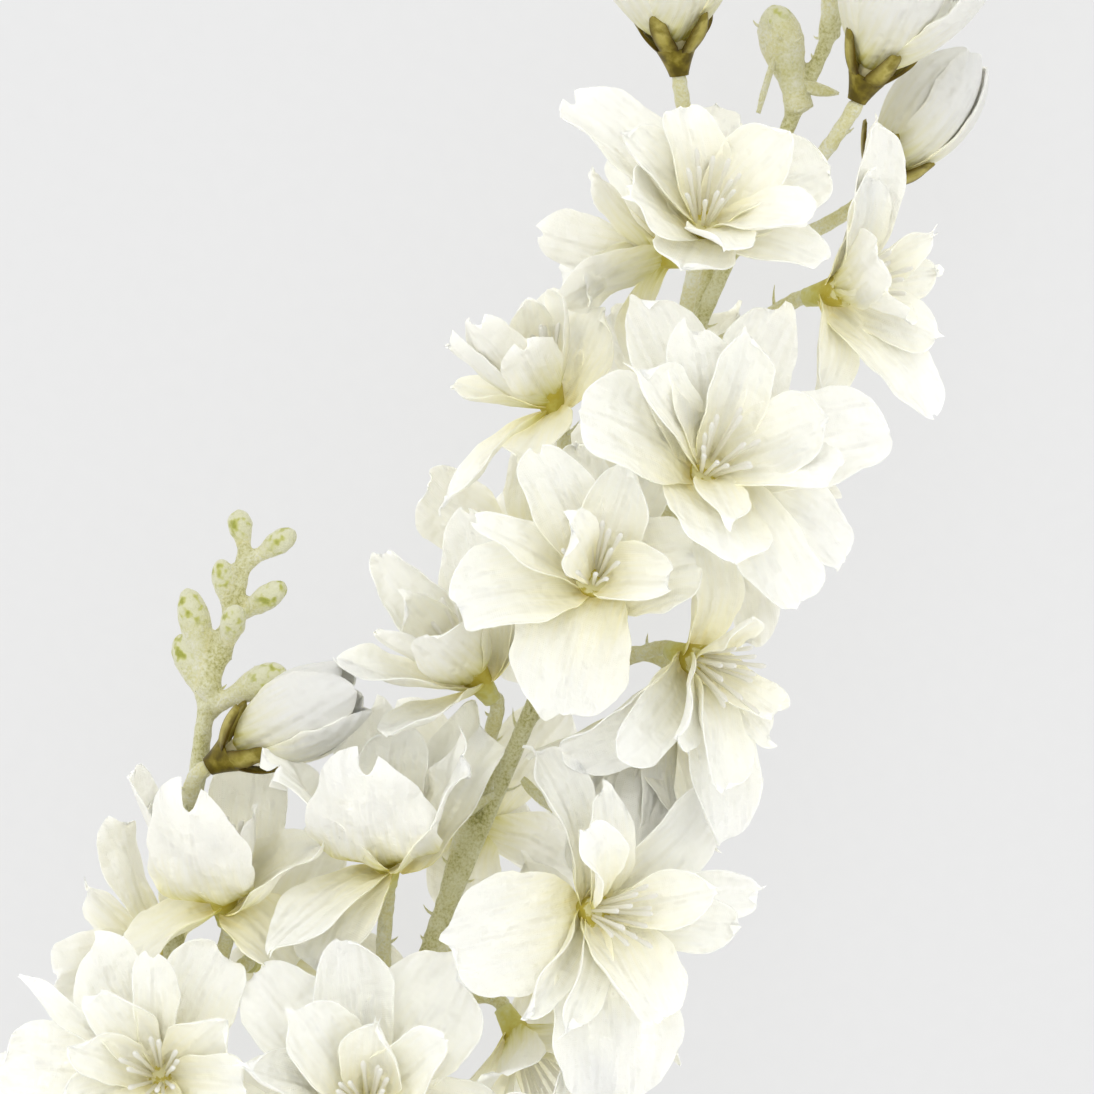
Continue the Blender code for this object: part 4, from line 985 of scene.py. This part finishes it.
def bud_petals(spec):
    """The bud's frame and base, its white petals, and the calyx lobes that lie over them."""
    draw = random.Random(spec["seed"])
    made = {"frame": frame_of(turned(*spec["faces"])), "base": placed(*spec["at"])}
    petals, lobes = [], []
    for k in range(spec["petals"]):
        common = UNPRESSED | {
            "azimuth": 360 / spec["petals"] * k + draw.uniform(-5, 5) + 17 * spec["seed"],
            "bend": 0.8, "claw": 0.7, "point": 0.5, "wave": 0.2, "phase": 0.0, "swing": 0.0, "level": 0.0,
            "tilt": 9.0, "twist": 9.0, "crease": 0.15, "pleats": 0.1, "ruffle": 0.15, "dents": 0.1,
        }  # fmt: skip
        petals.append(
            common
            | {
                "length": spec["length"] + draw.uniform(-1.5, 1.5),
                "width": spec["width"] + draw.uniform(-1, 1),
                "start": 62.0,
                "end": spec["tip"] + draw.uniform(-4, 4),
                "cup": 62.0,
                "root": BUD_FOOT + BUD_ROOT,
                "rings": 3,
            }
        )
        lobes.append(
            common
            | {
                "azimuth": common["azimuth"] + 14, "length": LOBE_LENGTH, "width": LOBE_WIDTH, "start": 72.0,
                "end": 10.0, "bend": 0.6, "cup": 30.0, "tilt": 0.0, "twist": 0.0, "claw": 0.25, "point": 0.3,
                "root": BUD_FOOT - LOBE_ROOT, "rings": 2,
            }
        )  # fmt: skip
    return made, petals, lobes


# Low-density polyethylene, injection moulded and brushed with brown: waxy half gloss, dark in the cup, olive
# gold along the lobes, and darker again at their edges and tips
EDGE_FROM = 0.6
EDGE_TO = 1.8
olive, tree, shader = start_material("brushed_olive_polyethylene")
cut = add(tree, "UVMap", uv_map="cut")
along = add(tree, "SeparateXYZ", {0: cut})
where = add(tree, "TexCoord").outputs["Object"]
brushed = add(tree, "TexNoise", {"Vector": where, "Scale": 450.0, "Detail": 4.0})
missed = add(
    tree, "MapRange", {"Value": brushed, "From Min": 0.3, "From Max": 0.7, "To Min": -0.06, "To Max": 0.06}
)
reach = add(tree, "Math", {0: along.outputs[1], 1: missed}, operation="ADD")
brown = add(
    tree,
    "ValToRGB",
    {"Fac": reach},
    stops=((0.0, "#5c4f10"), (0.05, "#7f701f"), (0.11, "#aea048"), (0.17, "#c3b664"), (0.23, "#8e8030")),
)
aside = add(tree, "Math", {0: along}, operation="ABSOLUTE")
to_edge = add(
    tree, "MapRange", {"Value": aside, "From Min": EDGE_FROM / CLOTH_SPAN, "From Max": EDGE_TO / CLOTH_SPAN}
)
edged = add(
    tree, "MixRGB", {"Fac": to_edge, "Color1": brown, "Color2": linear("#8b7d38")}, blend_type="MULTIPLY"
)
bump = add(tree, "Bump", {"Height": brushed, "Strength": 0.25, "Distance": 0.0003})
feed(
    tree,
    shader,
    {"Base Color": edged, "Roughness": 0.4, "IOR": 1.51, "Specular IOR Level": 0.22, "Normal": bump},
)

for spec in BUDS:
    made, petals, lobes = bud_petals(spec)
    finish = random.Random(spec["seed"] + 500)
    for node, kind, thick in (
        ("bud_" + spec["name"], petals, BUD_PETAL_THICKNESS),
        ("calyx_" + spec["name"], lobes, LOBE_THICKNESS),
    ):
        solid = surface_of(node)
        pieces = Pieces()
        for petal in kind:
            built = as_built(solid, made, petal)
            if built is None:
                continue
            points, faces, cuts = cloth_sheet(made, built, thick, finish)
            pieces.take(points, faces, 0, cuts, both_faces(points, finish, 0.3))
        if kind is petals:
            foot, head = PEG_RADII
            peg = (
                (BUD_FOOT + SEAT_GAP, foot * 0.95),
                (BUD_FOOT + PEG_LENGTH, head * 0.95),
                (BUD_FOOT + PEG_LENGTH + 0.5, head * 0.7),
            )
            points, faces, cuts = round_rod(made["base"], made["frame"], peg, 14)
            pieces.take(points, faces, 0, cuts * 0 + 0.05, 0.3)
            piece = pieces.made("silk_" + node, (cloth,))
        else:
            points, faces, cuts = round_rod(made["base"], made["frame"], CALYX_CUP, 20)
            pieces.take(points, faces, 0, cuts * (0.0, 0.05), 0.3)
            piece = pieces.made("moulded_" + node, (olive,))
        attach(piece, "root")
        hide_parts(node)


# The stem. Steel wire in a polyethylene skin, moulded in one with the side branch, the flower stalks, the
# narrow bracts and the small closed buds, then flocked pale green by blowing short fibres onto wet glue.

STEM_RADIUS = 2.3
TIP_RADIUS = 1.2
BRANCH_RADIUS = 2.1
STALK_COLLAR = 2.5
STEM_ASIDE = 9.0
TIP_BUDS = 12
TIP_BUD_RADIUS = 3.8
TIP_BUD_LENGTHS = (19.0, 9.0)
TIP_BUD_LEAN = (1.05, 1.95)
TIP_BUD_START = 40.0
TIP_FROM = 204.0
TIP_TO = 303.0
MAIN_ROUTE = (
    (0.0, -308.0, 2.7 - STEM_RISE),
    (1.5, -262.0, -26.0),
    (0.5, -190.0, -15.0),
    (-0.8, -124.0, -6.5),
    (0.0, -60.0, -1.5),
    (0.3, 20.0, 0.0),
    (0.0, 110.0, 0.0),
    (0.8, 180.0, 0.0),
    (2.2, 235.0, -1.0),
    (5.0, 305.0, -4.0),
)
BRANCH_ROUTE = (
    (-0.8, -126.0, -6.5),
    (-8.0, -98.0, -3.0),
    (-21.0, -62.0, 1.0),
    (-34.5, -24.0, 3.5),
    (-44.0, 8.0, 4.5),
    (-50.0, 30.0, 5.0),
    (-54.0, 45.0, 5.0),
    (-56.0, 60.0, 5.0),
    (-58.0, 70.0, 5.0),
)
GREEN_BUDS = (
    ((-54.0, -1.0, 5.0), (-55.4, 6.8, 5.0), 2.4),
    ((-53.0, -2.5, 5.0), (-44.8, 2.8, 8.0), 2.3),
    ((-57.0, -12.0, 5.0), (-58.2, -2.0, 8.0), 2.2),
    ((-56.0, -13.0, 5.0), (-46.4, -6.6, 9.5), 2.4),
    ((-60.5, -24.0, 5.0), (-64.5, -7.2, 5.0), 3.0),
    ((-61.0, -28.0, 5.0), (-66.3, -15.6, 1.0), 2.8),
    ((-57.5, -19.0, 5.0), (-55.0, -10.4, 11.5), 2.4),
    ((-59.5, -28.5, 5.0), (-46.4, -21.6, 10.5), 3.0),
    ((45.0, 80.0, 1.0), (40.4, 97.0, 5.0), 4.2),
)
BRACTS = (
    ((41.4, 89.0, 4.0), (37.8, 77.6, 5.0), 2.2),
    ((44.8, 83.0, 1.5), (52.4, 81.4, 2.0), 2.2),
    ((-9.0, -44.0, 1.5), (-23.4, -53.8, 4.0), 2.0),
    ((-4.6, -41.5, 1.5), (1.2, -47.5, 3.0), 2.4),
    ((-58.5, -28.0, 5.5), (-62.6, -25.6, 7.0), 2.2),
)


def smooth_route(route, step):
    """Points every step or so along a Catmull-Rom curve through the route's own points."""
    ends = [2 * np.array(route[0]) - route[1], *map(np.array, route), 2 * np.array(route[-1]) - route[-2]]
    points = []
    for before, start, end, after in zip(ends, ends[1:], ends[2:], ends[3:]):
        count = max(1, round(float(np.linalg.norm(end - start)) / step))
        for k in range(count):
            u = k / count
            points.append(
                0.5
                * (
                    2 * start
                    + (end - before) * u
                    + (2 * before - 5 * start + 4 * end - after) * u**2
                    + (3 * start - before - 3 * end + after) * u**3
                )
            )
    points.append(ends[-2])
    return np.array(points)


def on_spike(route):
    """A stem's route in the spike's own frame."""
    return [(aside + VIEW_MIDDLE[0] + STEM_ASIDE, along, rise + STEM_RISE) for aside, along, rise in route]


MAIN_LINE = smooth_route(on_spike(MAIN_ROUTE), 4.0)
BRANCH_LINE = smooth_route(on_spike(BRANCH_ROUTE), 4.0)


def stem_at(line, along):
    return np.array([np.interp(along, line[:, 1], line[:, k]) for k in range(3)])


def tube(points, radii, sides=14):
    """A closed tube along the points, as points and faces."""
    points = np.array(points, float)
    ways = np.gradient(points, axis=0)
    ways /= np.linalg.norm(ways, axis=1)[:, None]
    side = unit(np.cross(ways[0], (0.3, 0.1, 1.0)))
    rings = []
    angles = np.arange(sides) * 2 * math.pi / sides
    for point, way, radius in zip(points, ways, radii):
        side = unit(side - way * (side @ way))
        other = np.cross(way, side)
        rings.append(point + radius * (np.cos(angles)[:, None] * side + np.sin(angles)[:, None] * other))
    return np.vstack(rings), side_faces(len(points), sides)


def club(foot, tip, radius):
    """A closed green bud: an egg on a short stalk that flares into the stem."""
    foot, tip = np.array(foot), np.array(tip)
    length = float(np.linalg.norm(tip - foot))
    places = np.array([-0.1, 0.0, 0.1, 0.22, 0.35, 0.48, 0.62, 0.76, 0.88, 0.96, 1.0])
    girths = np.array([0.7, 0.62, 0.55, 0.56, 0.72, 0.9, 1.0, 0.96, 0.76, 0.45, 0.12])
    bow = np.sin(places * math.pi)[:, None] * np.array([0.0, 0.0, -0.06]) * length
    return tube(foot + (tip - foot) * places[:, None] + bow, radius * girths, 12)


carried = []
for spec in BLOOMS:
    axes = frame_of(turned(*spec["faces"]))
    carried.append((spec, axes[2], placed(*spec["at"]) - axes[2] * NECK_LENGTH))
for spec in BUDS:
    axes = frame_of(turned(*spec["faces"]))
    carried.append((spec, axes[2], placed(*spec["at"])))

core = Pieces()
core.take(*tube(MAIN_LINE, np.linspace(STEM_RADIUS * 1.05, TIP_RADIUS, len(MAIN_LINE))))
core.take(*tube(BRANCH_LINE, np.linspace(BRANCH_RADIUS * 1.05, BRANCH_RADIUS * 0.75, len(BRANCH_LINE))))
for spec, axis, base in carried:
    line = MAIN_LINE if spec["stem"] == "main" else BRANCH_LINE
    head = base - axis * SEAT_GAP
    foot = stem_at(line, head[1] - spec["drop"])
    out = head - foot
    out[1] = 0.0
    leaves = unit(unit(out) * 0.8 + np.array([0.0, 0.6, 0.0]))
    collar = head - axis * STALK_COLLAR
    reach = float(np.linalg.norm(collar - foot))
    a, b = foot + leaves * reach * 0.4, collar - axis * reach * 0.35
    # The solid's stalk runs straight between three points of this curve and its collar, and so does this one
    corners = [
        (1 - u) ** 3 * foot + 3 * (1 - u) ** 2 * u * a + 3 * (1 - u) * u**2 * b + u**3 * collar
        for u in (0.0, 0.5, 1.0)
    ]
    points = smooth_route([*corners, head], 1.5)
    flare = 1 + 0.5 * np.exp(-np.arange(len(points)) * 1.5 / 3.0)
    core.take(*tube(points, STALK_RADIUS * 0.93 * flare))
bud_lines = []
for foot, tip, radius in GREEN_BUDS:
    core.take(*club(placed(*foot), placed(*tip), radius))
    bud_lines.append(np.linspace(placed(*foot), placed(*tip), 9)[2:])
for k in range(TIP_BUDS):
    share = k / (TIP_BUDS - 1)
    foot = stem_at(MAIN_LINE, TIP_FROM + (TIP_TO - TIP_FROM) * share)
    angle = math.radians(GOLDEN_ANGLE * k + TIP_BUD_START)
    way = unit(np.array([math.cos(angle), np.interp(share, (0, 1), TIP_BUD_LEAN), math.sin(angle)]))
    length = np.interp(share, (0, 1), TIP_BUD_LENGTHS)
    core.take(*club(foot, foot + way * length, TIP_BUD_RADIUS * (1.0 - 0.37 * share)))
    bud_lines.append(np.linspace(foot, foot + way * length, 9)[2:])

# Flock: pale green rayon fibres about 0.5 mm long stand in the glue. They scatter light to a soft bloom, and
# where they are thin the darker moulding shows as patches. Fibres are drawn as a fine grain 0.3 mm across.
flock, tree, shader = start_material("flocked_pale_green")
where = add(tree, "TexCoord").outputs["Object"]
patches = add(tree, "TexNoise", {"Vector": where, "Scale": 220.0, "Detail": 2.0})
grain = add(tree, "TexNoise", {"Vector": where, "Scale": 1900.0, "Detail": 1.0, "Roughness": 0.7})
broad = add(tree, "MapRange", {"Value": patches, "To Min": 0.28, "To Max": 0.72})
fine = add(
    tree, "MapRange", {"Value": grain, "From Min": 0.3, "From Max": 0.7, "To Min": -0.1, "To Max": 0.1}
)
cover = {"Fac": add(tree, "Math", {0: broad, 1: fine}, operation="ADD")}
stem_skin = add(
    tree, "ValToRGB", cover, stops=((0.3, "#95934a"), (0.4, "#c4c07e"), (0.5, "#dcd9a6"), (0.64, "#ecebc8"))
)
stalk_skin = add(tree, "ValToRGB", cover, stops=((0.34, "#ddd692"), (0.5, "#e9e5b6"), (0.64, "#f2f1d9")))
bud_skin = add(tree, "ValToRGB", cover, stops=((0.34, "#d8d492"), (0.5, "#e6e4ba"), (0.64, "#f0eed6")))
spots = add(tree, "TexNoise", {"Vector": where, "Scale": 600.0, "Detail": 1.0})
tip_skin = add(
    tree,
    "ValToRGB",
    {"Fac": spots},
    stops=((0.0, "#eeedd0"), (0.5, "#e6e5bc"), (0.6, "#cdce76"), (0.7, "#a9ad3c")),
)
kind = add(tree, "Attribute", attribute_name="tone").outputs["Fac"]
skin_colour = stem_skin
for low, high, other in ((0.0, 0.5, stalk_skin), (0.5, 1.0, bud_skin), (1.0, 1.5, tip_skin)):
    reached = add(tree, "MapRange", {"Value": kind, "From Min": low, "From Max": high})
    skin_colour = add(tree, "MixRGB", {"Fac": reached, "Color1": skin_colour, "Color2": other})
bump = add(tree, "Bump", {"Height": grain, "Strength": 0.7, "Distance": 0.0004})
feed(
    tree,
    shader,
    {
        "Base Color": skin_colour,
        "Roughness": 0.95,
        "Sheen Weight": 0.5,
        "Sheen Roughness": 0.6,
        "Normal": bump,
    },
)

# The moulding has no seams where a stalk leaves the stem, so its tubes are fused into one skin
FUSE_VOXEL = 0.66
LUMPS = 0.12
moulding = core.made("moulding", (flock,))
remesh = moulding.modifiers.new("fuse", "REMESH")
remesh.mode = "VOXEL"
remesh.voxel_size = FUSE_VOXEL * MM
smooth = moulding.modifiers.new("soften", "SMOOTH")
smooth.factor = 0.6
smooth.iterations = 4
bpy.context.view_layer.update()
skin = bpy.data.meshes.new_from_object(moulding.evaluated_get(bpy.context.evaluated_depsgraph_get()))
bpy.data.objects.remove(moulding)


def of_each_point(what):
    """A vector of each point of the skin."""
    values = np.empty(len(skin.vertices) * 3)
    skin.vertices.foreach_get(what, values)
    return values.reshape(-1, 3)


skin_points = of_each_point("co") / MM
skin_normals = of_each_point("normal")
lumps = LUMPS * np.prod(np.sin(skin_points * (2.1, 1.7, 1.9)), axis=1)


def away_from(lines):
    """How far each point of the skin is from the nearest of the lines' own points."""
    near = KDTree(sum(len(line) for line in lines))
    for k, point in enumerate(np.vstack(lines)):
        near.insert(point, k)
    near.balance()
    return np.array([near.find(point)[2] for point in skin_points])


# The skin's kind is 0 on the main stem and its branch, which are flocked deeper green, 0.5 on the stalks,
# 1 on the green buds, which are paler, and 1.5 at the buds' tips, which have green spots
from_stem = away_from(
    [MAIN_LINE, smooth_route(on_spike(MAIN_ROUTE), 1.0), smooth_route(on_spike(BRANCH_ROUTE), 1.0)]
)
from_buds = away_from(bud_lines)
from_tips = away_from([bud_line[-3:] for bud_line in bud_lines])
kinds = 0.5 * share_of(from_stem, 2.6, 1.0)
kinds = np.maximum(kinds, (1.0 - share_of(from_buds, 2.8, 1.4)) * share_of(from_stem, 2.2, 1.0))
kinds = kinds + 0.5 * share_of(kinds, 0.9, 0.1) * (1.0 - share_of(from_tips, 2.4, 1.6))
whole = Pieces()
whole.take(
    skin_points + skin_normals * lumps[:, None], [tuple(p.vertices) for p in skin.polygons], tone=kinds
)

BRACT_THICKNESS = 0.8
draw = random.Random(77)
for foot, tip, width in BRACTS:
    foot, tip = placed(*foot), placed(*tip)
    made = {"frame": frame_of(tip - foot), "base": foot}
    petal = UNPRESSED | {
        "azimuth": 0.0, "length": float(np.linalg.norm(tip - foot)), "width": width, "start": 0.0,
        "end": 0.0, "bend": 1.0, "cup": 30.0, "claw": 0.5, "point": 0.8, "root": 0.0, "tilt": 0.0,
        "twist": 0.0, "swing": 0.0, "wave": 0.0, "phase": 0.0, "level": 0.0, "crease": 0.1, "ruffle": 0.1,
    }  # fmt: skip
    points, faces, cuts = cloth_sheet(made, petal, BRACT_THICKNESS, draw)
    whole.take(points, faces, 0, cuts, 0.9)

# Short moulded hairs stand on the stem and the stalks but not on the green buds, each a thorn 1 to 3 mm long
# that leans towards the tip
HAIRS = 300
HAIR_RADII = (0.36, 0.26, 0.15, 0.05)
HAIRLESS = 3.0
for k in draw.sample(range(len(skin_points)), HAIRS):
    if from_buds[k] < HAIRLESS:
        continue
    root, way = skin_points[k], unit(skin_normals[k] + np.array([0.0, draw.uniform(0.2, 1.2), 0.0]))
    length = draw.uniform(0.8, 1.6) if draw.random() < 0.8 else draw.uniform(2.0, 3.2)
    bow = np.array([0.0, 0.3, 0.0]) * length
    rising = ((0.4, 0.0), (0.75, 0.4), (1.0, 1.0))
    line = [root - way * 0.3, *(root + way * length * share + bow * rise for share, rise in rising)]
    line = above_floor(np.array(line), 0.0)
    whole.take(*tube(line, HAIR_RADII, 5), tone=0.95)

# Drawn steel core wire, dull grey and brushed lengthwise, which shows only where the stem's foot is cut
WIRE_RADIUS = 0.9
wire, tree, shader = start_material("drawn_steel_wire")
where = add(tree, "TexCoord").outputs["Object"]
brushed = add(tree, "TexNoise", {"Vector": where, "Scale": 2500.0})
grey = add(tree, "ValToRGB", {"Fac": brushed}, stops=((0.3, "#8f8d88"), (0.7, "#b5b3ad")))
feed(tree, shader, {"Base Color": grey, "Metallic": 1.0, "Roughness": 0.42})
inwards = unit(MAIN_LINE[1] - MAIN_LINE[0])
points, faces = tube([MAIN_LINE[0] + inwards * deep for deep in (-0.11, 1.0, 3.0)], [WIRE_RADIUS] * 3)
whole.take(points, faces, 1)
stem = whole.made("flocked_stem", (flock, wire))
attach(stem, "root")
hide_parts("stem")


# The surface and the light of a plain pale studio: a wide table of matt opal acrylic that glows from below,
# so shadows on it stay faint, one big soft light from the upper left, and white light from all round that is
# a little stronger from above the flowers in the view.

TABLE_HALF = 6.0
table, tree, shader = start_material("opal_acrylic")
where = add(tree, "TexCoord").outputs["Object"]
clouds = add(tree, "TexNoise", {"Vector": where, "Scale": 300.0, "Detail": 0.0})
table_tone = add(tree, "ValToRGB", {"Fac": clouds}, stops=((0.0, "#6f6f6f"), (1.0, "#737373")))
feed(
    tree,
    shader,
    {
        "Base Color": table_tone,
        "Roughness": 0.9,
        "Emission Color": (1.0, 1.0, 1.0, 1.0),
        "Emission Strength": 0.672,
    },
)
sheet = bpy.data.meshes.new("surface")
corners = [(x * TABLE_HALF, y * TABLE_HALF, 0.0) for x, y in ((-1, -1), (1, -1), (1, 1), (-1, 1))]
sheet.from_pydata(corners, [], [(0, 1, 2, 3)])
sheet.materials.append(table)
surface = bpy.data.objects.new("surface", sheet)
surface.location = (0, 0, -0.5 * MM)
bpy.context.scene.collection.objects.link(surface)
surface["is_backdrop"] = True

# The lamp is a square soft box of 1.2 m, aimed at the middle of the flowers
lamp = bpy.data.lights.new("key", "AREA")
lamp.size = 1.2
lamp.energy = 4
softbox = bpy.data.objects.new("key", lamp)
softbox.location = Vector(placed(-700, 1300, 2400) * MM)
aim = Vector(placed(0, 0, 0) * MM) - softbox.location
softbox.rotation_mode = "QUATERNION"
softbox.rotation_quaternion = aim.to_track_quat("-Z", "Y")
bpy.context.scene.collection.objects.link(softbox)

world = bpy.data.worlds.new("studio")
world.use_nodes = True
tree = world.node_tree
way = add(tree, "TexCoord").outputs["Generated"]
brightest = tuple(unit(turned(-0.35, 0.9, 0.35)))
height = add(tree, "VectorMath", {0: way, 1: brightest}, operation="DOT_PRODUCT").outputs["Value"]
glow = add(
    tree, "MapRange", {"Value": height, "From Min": -0.7, "From Max": 1.0, "To Min": 0.88, "To Max": 0.93}
)
feed(tree, tree.nodes["Background"], {"Strength": glow, "Color": (0.985, 0.99, 1.0, 1.0)})
bpy.context.scene.world = world
bpy.context.scene.view_settings.view_transform = "Standard"

boxes = {"cad": cad_box, "visual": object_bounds()}
